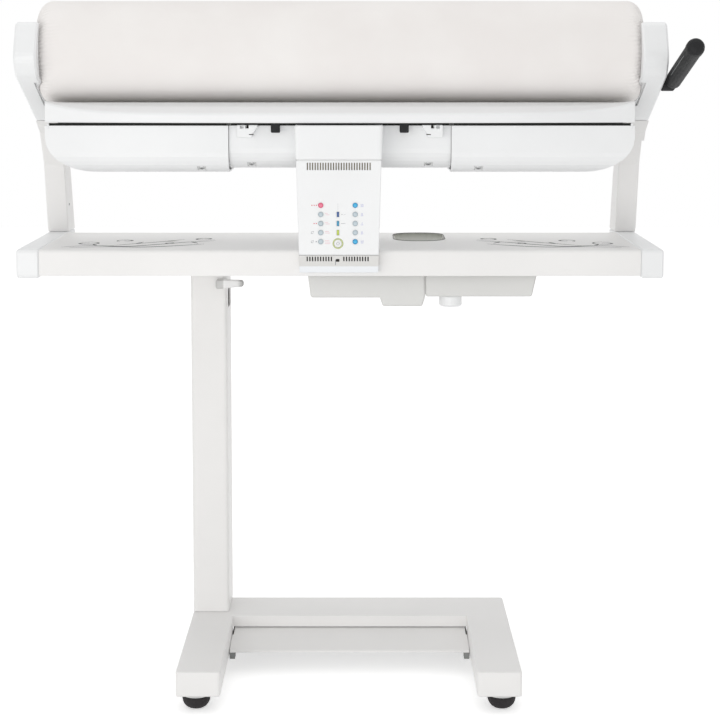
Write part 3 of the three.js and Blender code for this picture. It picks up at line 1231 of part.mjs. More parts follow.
function panelHousing() {
  const face = FASCIA_BACK + SEAT_GAP;
  const foot = PANEL_FRONT + PANEL_SETBACK;
  const apron = SHELF_FRONT - CAP_PROUD - SEAT_GAP;
  const section = outline([
    [face, PANEL_TOP], [face, PANEL_FACE_BOTTOM - SEAT_GAP],
    [PANEL_FRONT + 0.5, PANEL_FACE_BOTTOM - SEAT_GAP], [foot, PANEL_CHAMFER_BOTTOM],
    [foot, PANEL_BOTTOM], [apron, PANEL_BOTTOM], [apron, CAP_TOP + SEAT_GAP],
    [HOUSING_BACK, CAP_TOP + SEAT_GAP], [HOUSING_BACK, PANEL_TOP - 30], [HOUSING_BACK - 6, PANEL_TOP],
  ]);
  const body = prism('x', section, PANEL_X - PANEL_TOP_WIDTH, PANEL_X + PANEL_TOP_WIDTH).intersect(
    prism('y', panelView(PANEL_BOTTOM, PANEL_TOP), PANEL_FRONT - 5, HOUSING_BACK + 5),
  );
  const neck = block(
    [PANEL_X - NECK_WIDTH / 2, PANEL_FRONT + NECK_FRONT_INSET + FASCIA_THICKNESS, PANEL_TOP - 10],
    [PANEL_X + NECK_WIDTH / 2, HOUSING_BACK - 6, PANEL_TOP + NECK_HEIGHT], 4,
  );
  const wellReach = KEY_COLUMN + 2 * KEY_RADIUS;
  const well = block(
    [KEY_MIDDLE - wellReach, face - 1, POWER_HEIGHT - 2 * POWER_RADIUS],
    [KEY_MIDDLE + wellReach, face + KEY_LENGTH + 2, KEY_HEIGHTS[0] + 2 * KEY_RADIUS],
  );
  const ventReach = (TOP_SLOTS * TOP_SLOT_PITCH) / 2 + 3;
  const ventMiddle = PANEL_TOP - TOP_SLOT_DROP;
  const ventWell = block(
    [PANEL_X - ventReach, face - 1, ventMiddle - SLOT_HEIGHT / 2 - 2],
    [PANEL_X + ventReach, face + 8, ventMiddle + SLOT_HEIGHT / 2 + 2],
  );
  const slotMiddle = PANEL_X + LOW_SLOT_SHIFT;
  const lowSlots = [-1, 1].flatMap((sign) => ventSlots(
    LOW_SLOTS, sign * LOW_SLOT_PITCH, slotMiddle + sign * LOW_SLOT_START, PANEL_FACE_BOTTOM - LOW_SLOT_DROP,
    LOW_SLOT_HEIGHT, PANEL_FRONT - 2, foot + 5,
  ));
  const notchTop = PANEL_FACE_BOTTOM - LOW_SLOT_DROP;
  const notch = prism('y', rectangle(
    slotMiddle - NOTCH_WIDTH / 2, slotMiddle + NOTCH_WIDTH / 2, notchTop - NOTCH_HEIGHT, notchTop, 1, 2,
  ), PANEL_FRONT - 2, foot + 5);
  return cut(fuse(body, neck), well, ventWell, notch, ...lowSlots);
}

add('panel_housing', 'casing', panelHousing());

/** Light guide behind the fascia, with one window for each lamp. */
function indicatorLamps() {
  const back = FASCIA_BACK + KEY_LENGTH;
  const half = LAMP_WIDTH / 2;
  const windows = lampHeights.map((z) => block(
    [KEY_MIDDLE - half, PANEL_FRONT - 0.3, z - LAMP_HEIGHT / 2],
    [KEY_MIDDLE + half, back - 1, z + LAMP_HEIGHT / 2],
  ));
  const bar = block(
    [KEY_MIDDLE - half, back - 3, lampHeights.at(-1) - LAMP_HEIGHT / 2],
    [KEY_MIDDLE + half, back, lampHeights[0] + LAMP_HEIGHT / 2],
  );
  return fuse(bar, ...windows);
}

add('indicator_lamps', 'lamp', indicatorLamps());

/** Push button with a domed front, in the fascia's plane. */
function pushButton(x, z, radius, proud, segments) {
  const front = PANEL_FRONT - proud;
  return revolve('y', [
    [0, front], [radius * 0.6, front + proud * 0.15],
    [radius * 0.92, front + proud * 0.5], [radius, front + proud],
    [radius, front + KEY_LENGTH], [0, front + KEY_LENGTH],
  ], [x, z], segments);
}

const LIT_KEYS = { left_1: 'keyRed', right_1: 'keyBlue', right_5: 'keyBlue' };
SIDES.forEach(([side, sign]) => {
  KEY_HEIGHTS.forEach((z, row) => {
    const key = `${side}_${row + 1}`;
    const button = pushButton(KEY_MIDDLE + sign * KEY_COLUMN, z, KEY_RADIUS, KEY_PROUD, 12);
    add(`key_${key}`, LIT_KEYS[key] ?? 'keyGrey', button);
  });
});
add('power_button', 'casing', pushButton(KEY_MIDDLE, POWER_HEIGHT, POWER_RADIUS, POWER_PROUD, 18));

// ---------------------------------------------------------------- hand lever

/** Solid made along +Y from the lever's axis, turned to where the lever rests. */
function alongLever(geometry) {
  geometry.rotateX(Math.PI - LEVER_RISE * DEGREE);
  geometry.translate(LEVER_X, LEVER_AXIS_Y, LEVER_AXIS_Z);
  return solidOf(geometry);
}

const leverRevolve = (profile, segments) => alongLever(
  new THREE.LatheGeometry(profile.map(([r, h]) => new THREE.Vector2(r, h)), segments),
);

function leverArm() {
  const face = ARM_OUTER + RIGHT_EXTRA + SEAT_GAP;
  const end = LEVER_X + LEVER_HUB_REACH;
  const hub = revolve('x', [
    [0, face], [LEVER_HUB_RADIUS - 1, face], [LEVER_HUB_RADIUS, face + 1],
    [LEVER_HUB_RADIUS, end - 2], [LEVER_HUB_RADIUS - 2, end], [0, end],
  ], [LEVER_AXIS_Y, LEVER_AXIS_Z], 24);
  const tip = GRIP_START + GRIP_LENGTH - LEVER_ROD_STOP;
  const shaft = leverRevolve([[0, 2], [LEVER_ROD_RADIUS, 2], [LEVER_ROD_RADIUS, tip], [0, tip]], 12);
  return fuse(hub, shaft);
}

/** Grip with flutes along it, a collar near its end and a domed end. */
function leverGrip() {
  const end = GRIP_START + GRIP_LENGTH;
  const collar = end - GRIP_CAP - COLLAR_LENGTH;
  const body = leverRevolve([
    [0, GRIP_START], [GRIP_RADIUS - 1.5, GRIP_START], [GRIP_RADIUS, GRIP_START + 1.5],
    [GRIP_RADIUS, collar], [COLLAR_RADIUS, collar + 1], [COLLAR_RADIUS, collar + COLLAR_LENGTH],
    [COLLAR_RADIUS * 0.94, end - GRIP_CAP * 0.55], [COLLAR_RADIUS * 0.75, end - GRIP_CAP * 0.22],
    [COLLAR_RADIUS * 0.42, end - GRIP_CAP * 0.05], [0, end],
  ], 24);
  const bore = leverRevolve([
    [0, GRIP_START - 1], [LEVER_ROD_RADIUS + SEAT_GAP, GRIP_START - 1],
    [LEVER_ROD_RADIUS + SEAT_GAP, end - LEVER_ROD_STOP + SEAT_GAP], [0, end - LEVER_ROD_STOP + SEAT_GAP],
  ], 12);
  const flutes = [];
  for (let k = 0; k < GRIP_FLUTES; k += 1) {
    const angle = ((k + 0.5) * 2 * Math.PI) / GRIP_FLUTES;
    const length = (collar - GRIP_START) * GRIP_FLUTED;
    const geometry = new THREE.CylinderGeometry(1.4, 1.4, length, 6);
    const reach = GRIP_RADIUS + 1.4 - GRIP_FLUTE_DEPTH;
    geometry.translate(reach * Math.cos(angle), (GRIP_START + collar) / 2, reach * Math.sin(angle));
    flutes.push(alongLever(geometry));
  }
  return cut(body, bore, ...flutes);
}

add('hand_lever_arm', 'black', leverArm());
add('hand_lever_grip', 'black', leverGrip());

// ---------------------------------------------------------------- origin at the middle of the footprint

const bounds = new THREE.Box3().setFromObject(ironer);
const middle = bounds.getCenter(new THREE.Vector3());
ironer.position.set(-middle.x, -middle.y, -bounds.min.z);
ironer.updateMatrixWorld(true);

export default ironer;
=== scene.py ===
import json
import math

import bmesh
import bpy
from mathutils import Matrix, Vector


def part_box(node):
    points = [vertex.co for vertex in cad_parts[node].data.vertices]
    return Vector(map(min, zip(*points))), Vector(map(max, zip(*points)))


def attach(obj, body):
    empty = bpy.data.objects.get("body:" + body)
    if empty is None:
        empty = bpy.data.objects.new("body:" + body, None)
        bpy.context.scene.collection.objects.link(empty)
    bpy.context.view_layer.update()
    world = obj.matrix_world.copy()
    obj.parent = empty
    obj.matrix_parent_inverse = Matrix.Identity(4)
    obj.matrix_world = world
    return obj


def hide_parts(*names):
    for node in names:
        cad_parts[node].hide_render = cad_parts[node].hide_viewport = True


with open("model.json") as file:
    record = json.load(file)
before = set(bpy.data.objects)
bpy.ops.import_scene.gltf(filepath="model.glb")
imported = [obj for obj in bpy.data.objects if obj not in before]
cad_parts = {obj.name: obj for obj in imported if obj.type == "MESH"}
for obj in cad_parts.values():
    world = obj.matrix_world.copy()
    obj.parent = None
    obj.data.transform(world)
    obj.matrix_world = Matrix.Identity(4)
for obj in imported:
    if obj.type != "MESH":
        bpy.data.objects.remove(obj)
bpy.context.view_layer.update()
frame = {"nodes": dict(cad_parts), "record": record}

MM = 0.001


def node_box(name):
    """Lowest and highest corner of a CAD node, in millimetres."""
    return tuple(Vector(corner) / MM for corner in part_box(name))


# ---------------------------------------------------------------- camera, floor and light

CAMERA_PLACE = (0.0122, -2.6161, 0.8764)
CAMERA_LENS = 92.02  # mm
SENSOR_WIDTH = 36  # mm
CAMERA_TILT = 5.716  # degrees below the horizontal
CAMERA_SHIFT = -0.16
WORLD_COLOUR = (0.99, 0.99, 0.985, 1)
WORLD_STRENGTH = 0.7
WHITE = (1, 1, 1, 1)
FLOOR_SIZE = 14  # m
FLOOR_COLOUR = (0.93, 0.93, 0.93, 1)
FLOOR_ROUGHNESS = 0.9
FLOOR_GLOW = 0.5  # added to the floor where it is looked at, so that only the shadow stays darker
LOW_AIM = (0, 0, 0.6)
HIGH_AIM = (0, 0, 0.8)
FRONT_TINT = (1, 0.99, 0.975)
TOP_TINT = (1, 0.995, 0.985)
LIGHTS = [  # name, place, aim, size, watts, colour
    ("key_light", (-1.6, -2.6, 0.8), LOW_AIM, (2.0, 1.4), 11, FRONT_TINT),
    ("low_light", (-0.2, -2.7, 0.25), HIGH_AIM, (1.8, 0.7), 10, FRONT_TINT),
    ("top_light", (0, 0.3, 2.8), LOW_AIM, (2.4, 1.6), 9, TOP_TINT),
]


def make_camera():
    data = bpy.data.cameras.new("camera")
    data.sensor_fit = "HORIZONTAL"
    data.sensor_width = SENSOR_WIDTH
    data.lens = CAMERA_LENS
    data.shift_y = CAMERA_SHIFT
    camera = bpy.data.objects.new("camera", data)
    camera.location = CAMERA_PLACE
    camera.rotation_euler = (math.radians(90 - CAMERA_TILT), 0, 0)
    bpy.context.collection.objects.link(camera)
    bpy.context.scene.camera = camera


def for_viewer(tree, shader, seen_shader):
    """The shader, but seen_shader where the camera, a reflection or glass looks at it."""
    path = tree.nodes.new("ShaderNodeLightPath")
    looked_at = path.outputs["Is Camera Ray"]
    for ray in ("Is Glossy Ray", "Is Transmission Ray"):
        either = tree.nodes.new("ShaderNodeMath")
        either.operation = "MAXIMUM"
        tree.links.new(looked_at, either.inputs[0])
        tree.links.new(path.outputs[ray], either.inputs[1])
        looked_at = either.outputs[0]
    mix = tree.nodes.new("ShaderNodeMixShader")
    tree.links.new(looked_at, mix.inputs[0])
    tree.links.new(shader.outputs[0], mix.inputs[1])
    tree.links.new(seen_shader.outputs[0], mix.inputs[2])
    return mix


def make_world():
    world = bpy.data.worlds.new("studio")
    world.use_nodes = True
    tree = world.node_tree
    background = tree.nodes["Background"]
    background.inputs["Color"].default_value = WORLD_COLOUR
    background.inputs["Strength"].default_value = WORLD_STRENGTH
    white = tree.nodes.new("ShaderNodeBackground")
    white.inputs["Color"].default_value = WHITE
    mix = for_viewer(tree, background, white)
    tree.links.new(mix.outputs[0], tree.nodes["World Output"].inputs["Surface"])
    bpy.context.scene.world = world
    bpy.context.scene.view_settings.view_transform = "Standard"


def make_floor():
    bpy.ops.mesh.primitive_plane_add(size=FLOOR_SIZE, location=(0, 0, 0))
    floor = bpy.context.object
    floor.name = "floor"
    material = bpy.data.materials.new("floor")
    material.use_nodes = True
    tree = material.node_tree
    shader = tree.nodes["Principled BSDF"]
    shader.inputs["Base Color"].default_value = FLOOR_COLOUR
    shader.inputs["Roughness"].default_value = FLOOR_ROUGHNESS
    glow = tree.nodes.new("ShaderNodeEmission")
    glow.inputs["Strength"].default_value = FLOOR_GLOW
    lifted = tree.nodes.new("ShaderNodeAddShader")
    tree.links.new(shader.outputs[0], lifted.inputs[0])
    tree.links.new(glow.outputs[0], lifted.inputs[1])
    mix = for_viewer(tree, shader, lifted)
    tree.links.new(mix.outputs[0], tree.nodes["Material Output"].inputs["Surface"])
    floor.data.materials.append(material)


def area_light(name, place, aim, size, watts, colour):
    data = bpy.data.lights.new(name, "AREA")
    data.shape = "RECTANGLE"
    data.size, data.size_y = size
    data.energy = watts
    data.color = colour
    light = bpy.data.objects.new(name, data)
    light.location = place
    light.rotation_euler = (Vector(aim) - Vector(place)).to_track_quat("-Z", "Y").to_euler()
    light.visible_camera = False
    bpy.context.collection.objects.link(light)


make_camera()
make_world()
make_floor()
for light in LIGHTS:
    area_light(*light)

# ---------------------------------------------------------------- materials

MOTTLE_SCALE = 7
GLOSS_SCALE = 30
GRAIN_HEIGHT = 0.00012
GRINDING_SCALE = 260
GRINDING_HEIGHT = 0.0001
WEAVE_SCALE = 420
WEAVE_HEIGHT = 0.0002
BLACK_SPECULAR = 0.3


def linear(code):
    """Linear colour of a hexadecimal sRGB code."""
    channels = [int(code[i:i + 2], 16) / 255 for i in (0, 2, 4)]
    return tuple(c / 12.92 if c <= 0.04045 else ((c + 0.055) / 1.055) ** 2.4 for c in channels) + (1,)


def shaded(colour, factor):
    return tuple(min(1, c * factor) for c in colour[:3]) + (1,)


def new_material(name, roughness, metallic=0.0):
    material = bpy.data.materials.new(name)
    material.use_nodes = True
    shader = material.node_tree.nodes["Principled BSDF"]
    shader.inputs["Roughness"].default_value = roughness
    shader.inputs["Metallic"].default_value = metallic
    return material, material.node_tree, shader


def noise(tree, scale, detail=3.0, stretch=(1, 1, 1)):
    """Noise in the object's own coordinates, in cells for each metre."""
    place = tree.nodes.new("ShaderNodeTexCoord")
    mapping = tree.nodes.new("ShaderNodeMapping")
    mapping.inputs["Scale"].default_value = stretch
    texture = tree.nodes.new("ShaderNodeTexNoise")
    texture.inputs["Scale"].default_value = scale
    texture.inputs["Detail"].default_value = detail
    tree.links.new(place.outputs["Object"], mapping.inputs["Vector"])
    tree.links.new(mapping.outputs["Vector"], texture.inputs["Vector"])
    return texture


def vary_colour(tree, shader, texture, dark, light, low=0.35, high=0.65):
    ramp = tree.nodes.new("ShaderNodeValToRGB")
    ramp.color_ramp.elements[0].position = low
    ramp.color_ramp.elements[0].color = dark
    ramp.color_ramp.elements[1].position = high
    ramp.color_ramp.elements[1].color = light
    tree.links.new(texture.outputs["Fac"], ramp.inputs["Fac"])
    tree.links.new(ramp.outputs["Color"], shader.inputs["Base Color"])


def vary_roughness(tree, shader, texture, low, high):
    spread = tree.nodes.new("ShaderNodeMapRange")
    spread.inputs["To Min"].default_value = low
    spread.inputs["To Max"].default_value = high
    tree.links.new(texture.outputs["Fac"], spread.inputs["Value"])
    tree.links.new(spread.outputs["Result"], shader.inputs["Roughness"])


def bump(tree, shader, height, strength, distance, edge=0.0):
    """Surface relief, over edges that look rounded to the radius edge, in metres."""
    node = tree.nodes.new("ShaderNodeBump")
    node.inputs["Strength"].default_value = strength
    node.inputs["Distance"].default_value = distance
    tree.links.new(height, node.inputs["Height"])
    tree.links.new(node.outputs["Normal"], shader.inputs["Normal"])
    if edge:
        rounded = tree.nodes.new("ShaderNodeBevel")
        rounded.samples = 4
        rounded.inputs["Radius"].default_value = edge
        tree.links.new(rounded.outputs["Normal"], node.inputs["Normal"])


def coated(name, code, roughness, grain=900.0, relief=0.12, spread=0.97, edge=0.0):
    """Paint or moulded plastic: slight mottling, uneven gloss and a fine surface grain."""
    material, tree, shader = new_material(name, roughness)
    colour = linear(code)
    vary_colour(tree, shader, noise(tree, MOTTLE_SCALE, 4), shaded(colour, spread), colour)
    vary_roughness(tree, shader, noise(tree, GLOSS_SCALE), roughness - 0.05, roughness + 0.05)
    bump(tree, shader, noise(tree, grain, 2).outputs["Fac"], relief, GRAIN_HEIGHT, edge)
    return material


def metal(name, code, roughness, stretch):
    """Bare metal with grinding marks along one direction."""
    material, tree, shader = new_material(name, roughness, 1.0)
    colour = linear(code)
    lines = noise(tree, GRINDING_SCALE, 5, stretch)
    vary_colour(tree, shader, lines, shaded(colour, 0.86), colour)
    vary_roughness(tree, shader, lines, roughness - 0.07, roughness + 0.12)
    bump(tree, shader, lines.outputs["Fac"], 0.15, GRINDING_HEIGHT)
    return material


def make_cloth():
    """Padded cotton cover: a plain weave and a little sheen."""
    material, tree, shader = new_material("roller_cloth", 0.92)
    shader.inputs["Sheen Weight"].default_value = 0.15
    shader.inputs["Sheen Roughness"].default_value = 0.5
    vary_colour(tree, shader, noise(tree, 9, 3), linear("F4F0EE"), linear("F8F5F3"))
    threads = []
    place = tree.nodes.new("ShaderNodeTexCoord")
    for direction in ("X", "Z"):
        wave = tree.nodes.new("ShaderNodeTexWave")
        wave.bands_direction = direction
        wave.inputs["Scale"].default_value = WEAVE_SCALE
        wave.inputs["Distortion"].default_value = 0.6
        tree.links.new(place.outputs["Object"], wave.inputs["Vector"])
        threads.append(wave)
    weave = tree.nodes.new("ShaderNodeMath")
    weave.operation = "MULTIPLY"
    for socket, wave in zip(weave.inputs, threads):
        tree.links.new(wave.outputs["Fac"], socket)
    bump(tree, shader, weave.outputs[0], 0.3, WEAVE_HEIGHT)
    return material


def tint_along(material, axis, stops, stepped=False):
    """Give a material colours along an axis of the object: stops are (metres, colour code) pairs."""
    tree = material.node_tree
    shader = tree.nodes["Principled BSDF"]
    place = tree.nodes.new("ShaderNodeTexCoord")
    split = tree.nodes.new("ShaderNodeSeparateXYZ")
    share = tree.nodes.new("ShaderNodeMapRange")
    share.inputs["From Min"].default_value = stops[0][0]
    share.inputs["From Max"].default_value = stops[-1][0]
    ramp = tree.nodes.new("ShaderNodeValToRGB")
    if stepped:
        ramp.color_ramp.interpolation = "CONSTANT"
    reach = stops[-1][0] - stops[0][0]
    while len(ramp.color_ramp.elements) < len(stops):
        ramp.color_ramp.elements.new(0.5)
    for element, (at, code) in zip(ramp.color_ramp.elements, stops):
        element.position = (at - stops[0][0]) / reach
        element.color = linear(code)
    tree.links.new(place.outputs["Object"], split.inputs["Vector"])
    tree.links.new(split.outputs[axis], share.inputs["Value"])
    tree.links.new(share.outputs["Result"], ramp.inputs["Fac"])
    tree.links.new(ramp.outputs["Color"], shader.inputs["Base Color"])
    return material


def make_lamps(node):
    """Light guide whose windows are tinted by height: blue, cyan and yellow-green downwards."""
    low, high = (corner[2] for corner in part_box(node))
    tall = high - low
    return tint_along(new_material("lamp_blue", 0.28)[0], "Z", [
        (low, "C3D64E"), (low + 0.34 * tall, "2393BE"), (low + 0.67 * tall, "355C9A"), (high, "355C9A"),
    ], stepped=True)


def casing(name):
    """Smooth white plastic."""
    return coated(name, "F4F5F6", 0.34, 1400.0, 0.06, edge=EDGE_ROUND)


ALONG_X = (0.04, 1, 1)
ALONG_Z = (1, 1, 0.04)
EDGE_ROUND = 0.7 * MM
MATERIALS = {
    "white_enamel": coated("white_enamel", "F3F2F1", 0.42, edge=EDGE_ROUND),
    "white_casing": casing("white_casing"),
    "grey_casing": coated("grey_casing", "E2E2E0", 0.5, 1500.0, 0.16, edge=EDGE_ROUND),
    "roller_cloth": make_cloth(),
    "aluminium": metal("aluminium", "CFCFCC", 0.32, ALONG_X),
    "steel": metal("steel", "B4B6B8", 0.36, ALONG_Z),
    "bronze": metal("bronze", "A87C4A", 0.42, ALONG_X),
    "black_plastic": coated("black_plastic", "1B1C1E", 0.62, 1600.0, 0.3, 0.8),
    "black_rubber": coated("black_rubber", "1A1518", 0.75, 1100.0, 0.4, 0.8),
    "key_grey": coated("key_grey", "C4D1D8", 0.25, 500.0, 0.04),
    "key_red": coated("key_red", "F07C99", 0.25, 500.0, 0.04),
    "key_blue": coated("key_blue", "3CB4E4", 0.25, 500.0, 0.04),
    "lamp_blue": make_lamps("indicator_lamps"),
}
black = MATERIALS["black_plastic"].node_tree.nodes["Principled BSDF"]
black.inputs["Specular IOR Level"].default_value = BLACK_SPECULAR
# dark painted shade for the gap below the guard
GAP_SHADE_DARK = coated("gap_shade_dark", "2A2A28", 0.95, 2200.0, 0.6, 0.7)
# brown painted shade behind the upper vent slots
PAINTED_SHADE_BROWN = coated("painted_shade_brown", "8E877A", 0.8, 900.0, 0.2, 0.8)
# dark painted shade in slots, notches and slits
PAINTED_SHADE_DARK = coated("painted_shade_dark", "2E2A28", 0.8, 900.0, 0.2, 0.8)
# also the painted shade of the slot on the left post
BUFFER_GREY = coated("buffer_grey", "8C8E8D", 0.7, 1500.0, 0.3, 0.88)
# also laid over the shaded gaps round the keys and under the cowl as painted light
PALE_PLASTIC = coated("pale_plastic", "ECEDEC", 0.45, 1400.0, 0.08)
# painted shade along the filler bowl's edge
BOWL_EDGE_SHADE = coated("bowl_edge_shade", "5A5A54", 0.4, 1100.0, 0.1, 0.85)
# grey of the screws' painted recess shade, the grip's painted highlights and the grip's rim
RIB_GREY = coated("rib_grey", "77797B", 0.4, 1400.0, 0.1, 0.9)
# darker copies of the key colours: painted shade on the keys' rims
SHADED_RIM_GREY = coated("rim_grey", "B2C0C8", 0.3, 700.0, 0.05, 0.9)
SHADED_RIM_RED = coated("rim_red", "DF5C80", 0.3, 700.0, 0.05, 0.9)
SHADED_RIM_BLUE = coated("rim_blue", "1F8FC4", 0.3, 700.0, 0.05, 0.9)
RING_GREEN = coated("ring_green", "DCE79C", 0.4, 900.0, 0.05)
# darker copy of the ring's green: painted shade on its outer edge
RING_EDGE_SHADE = coated("ring_edge_shade", "A6B089", 0.4, 900.0, 0.05)
INK_GREY = coated("ink_grey", "8A8E94", 0.6, 900.0, 0.05)
INK_DARK = coated("ink_dark", "3E4042", 0.55, 900.0, 0.05, 0.85)
INK_PINK = coated("ink_pink", "F0C3CA", 0.6, 900.0, 0.05)
INK_RED = coated("ink_red", "D8354A", 0.6, 900.0, 0.05)
INK_VIOLET = coated("ink_violet", "AAAEDF", 0.6, 900.0, 0.05)
SCREW_STEEL = metal("screw_steel", "D2D3D4", 0.4, (1, 1, 1))

SHARP_ANGLE = math.radians(32)


def finish_node(node, slot):
    node.data.materials.clear()
    node.data.materials.append(MATERIALS[slot])
    node.data.shade_smooth()
    node.data.set_sharp_from_angle(angle=SHARP_ANGLE)


for entry in frame["record"]["subparts"]:
    finish_node(frame["nodes"][entry["node"]], entry["material_slot"])

# panel housing coloured by height: a grey band on the chamfer that faces down, painted shade, with bluish
# white below and white above
HOUSING_PAINTED_SHADE = tint_along(casing("panel_housing"), "Z", [
    (0.590, "EEF1F5"), (0.5965, "EEF1F5"), (0.5975, "E1E0DE"),
    (0.6122, "E1E0DE"), (0.6132, "F4F5F6"), (0.620, "F4F5F6"),
])
BOWL_BOTTOM, BOWL_TOP = (corner[2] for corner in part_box("filler_bowl"))
# bowl's inside darker towards its rim and near white at the bottom: painted shade and a painted highlight
BOWL_PAINTED_SHADE = tint_along(coated("filler_bowl", "B0B0AA", 0.22, 1400.0, 0.06), "Z", [
    (BOWL_BOTTOM, "F6F6F4"), (BOWL_BOTTOM + 0.005, "ECECE9"), (BOWL_BOTTOM + 0.011, "CFD0CA"),
    (BOWL_TOP, "A9AAA1"),
])
LATCH_LEFT, LATCH_RIGHT = (corner[0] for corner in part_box("fold_latch"))
# latch greyer at both ends: painted shade of its sides
LATCH_PAINTED_SHADE = tint_along(casing("fold_latch"), "X", [
    (LATCH_LEFT, "C6C6C5"), (LATCH_LEFT + 0.010, "CDCDCC"), (LATCH_LEFT + 0.012, "F2F2F2"),
    (LATCH_RIGHT - 0.009, "F0F0F0"), (LATCH_RIGHT - 0.004, "BCBCBB"), (LATCH_RIGHT, "B2B2B1"),
])
for name, material in (("panel_housing", HOUSING_PAINTED_SHADE), ("filler_bowl", BOWL_PAINTED_SHADE), ("fold_latch", LATCH_PAINTED_SHADE)):
    frame["nodes"][name].data.materials[0] = material

# ---------------------------------------------------------------- making pieces
# A shape is a pair (vertices, faces), in millimetres.


def add_piece(name, shapes, material, body, smooth=False):
    """One named piece made of shapes, that rides on a body and may fill a material slot."""
    vertices, faces = [], []
    for shape_vertices, shape_faces in shapes:
        start = len(vertices)
        vertices += shape_vertices
        faces += [tuple(start + i for i in face) for face in shape_faces]
    mesh = bpy.data.meshes.new(name)
    mesh.from_pydata([tuple(c * MM for c in vertex) for vertex in vertices], [], faces)
    mesh.validate()
    mesh.update()
    mesh.shade_smooth()
    if not smooth:
        mesh.set_sharp_from_angle(angle=SHARP_ANGLE)
    mesh.materials.append(material)
    piece = bpy.data.objects.new(name, mesh)
    bpy.context.collection.objects.link(piece)
    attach(piece, body)
    return piece


def lathe(profile, steps, closed=False):
    """Surface turned about +Z from (radius, height) points; closed joins the last point to the first."""
    vertices, faces = [], []
    count = len(profile)
    for i in range(steps):
        angle = 2 * math.pi * i / steps
        vertices += [(r * math.cos(angle), r * math.sin(angle), z) for r, z in profile]
    for i in range(steps):
        here, ahead = i * count, (i + 1) % steps * count
        for j in range(count if closed else count - 1):
            k = (j + 1) % count
            faces.append((here + j, ahead + j, ahead + k, here + k))
    return vertices, faces


def block(low, high, round_by=0.0):
    """Box whose edges along Z and at its top are cut by round_by."""
    (x0, y0, z0), (x1, y1, z1) = low, high
    c = round_by

    def loop(inset, z):
        a, b, d, e = x0 + inset, x1 - inset, y0 + inset, y1 - inset
        if not c:
            return [(a, d, z), (b, d, z), (b, e, z), (a, e, z)]
        return [
            (a + c, d, z), (b - c, d, z), (b, d + c, z), (b, e - c, z),
            (b - c, e, z), (a + c, e, z), (a, e - c, z), (a, d + c, z),
        ]

    loops = [loop(0, z0), loop(0, z1 - c), loop(c * 0.6, z1)] if c else [loop(0, z0), loop(0, z1)]
    count = len(loops[0])
    vertices = [vertex for ring in loops for vertex in ring]
    faces = [tuple(reversed(range(count))), tuple(range(len(vertices) - count, len(vertices)))]
    for level in range(len(loops) - 1):
        for i in range(count):
            j = (i + 1) % count
            base = level * count
            faces.append((base + i, base + j, base + count + j, base + count + i))
    return vertices, faces


def moved(shape, matrix):
    """The shape with its vertices taken through a matrix."""
    return [tuple(matrix @ Vector(vertex)) for vertex in shape[0]], shape[1]


def facing(place, normal):
    """Matrix that takes +Z to the normal and the origin to the place."""
    return Matrix.Translation(place) @ Vector(normal).to_track_quat("Z", "Y").to_matrix().to_4x4()


def disc(u, v, radius, steps=20):
    """Flat round shape in the plane of a print."""
    vertices = [
        (u + radius * math.cos(2 * math.pi * i / steps), v + radius * math.sin(2 * math.pi * i / steps), 0)
        for i in range(steps)
    ]
    return vertices, [tuple(range(steps))]


def arc(u, v, inner, outer, start=0, end=360, steps=24):
    """Flat ring, or a part of it between two angles in degrees."""
    vertices, faces = [], []
    for i in range(steps + 1):
        angle = math.radians(start + (end - start) * i / steps)
        for radius in (inner, outer):
            vertices.append((u + radius * math.cos(angle), v + radius * math.sin(angle), 0))
    faces = [(2 * i, 2 * i + 1, 2 * i + 3, 2 * i + 2) for i in range(steps)]
    return vertices, faces


def stroke(points, widths):
    """Flat strip along (u, v) points, with one width or a width at each point."""
    if not isinstance(widths, (list, tuple)):
        widths = [widths] * len(points)
    points = [Vector((u, v, 0)) for u, v in points]
    vertices = []
    for i, point in enumerate(points):
        ahead = points[min(i + 1, len(points) - 1)] - points[max(i - 1, 0)]
        side = Vector((-ahead.y, ahead.x, 0)).normalized() * widths[i] / 2
        vertices += [tuple(point + side), tuple(point - side)]
    faces = [(2 * i, 2 * i + 1, 2 * i + 3, 2 * i + 2) for i in range(len(points) - 1)]
    return vertices, faces


PRINT_LIFT = 0.08  # of a print over the surface that carries it


def on_front(y):
    """Matrix from the plane of a print to a face that looks at -Y: u is X and v is Z."""
    return Matrix(((1, 0, 0, 0), (0, 0, 1, y - PRINT_LIFT), (0, 1, 0, 0), (0, 0, 0, 1)))


def on_top(z):
    return Matrix.Translation((0, 0, z + PRINT_LIFT))


def printed(name, shapes, matrix, material, body):
    return add_piece(name, [moved(shape, matrix) for shape in shapes], material, body)


# ---------------------------------------------------------------- roller cloth

CLOTH_LOW, CLOTH_HIGH = node_box("roller_cloth")
CLOTH_AXIS = (CLOTH_LOW + CLOTH_HIGH) / 2
FULLNESS = 2.6  # of each end beyond the solid's, inside the arm's pocket
CLOTH_HALF = (CLOTH_HIGH.x - CLOTH_LOW.x) / 2 + FULLNESS
CLOTH_RADIUS = (CLOTH_HIGH.z - CLOTH_LOW.z) / 2
CLOTH_STEPS = 480
STRAIGHT_SPANS = 130
END_STEPS = 16
END_ROUND = 20
TUCK = 5
TUCK_LEAN = 1.8
GATHERS = 80
GATHER_REACH = 34  # from the cloth's end
GATHER_DEPTH = 2.4
RIPPLE_DEPTH = 0.12


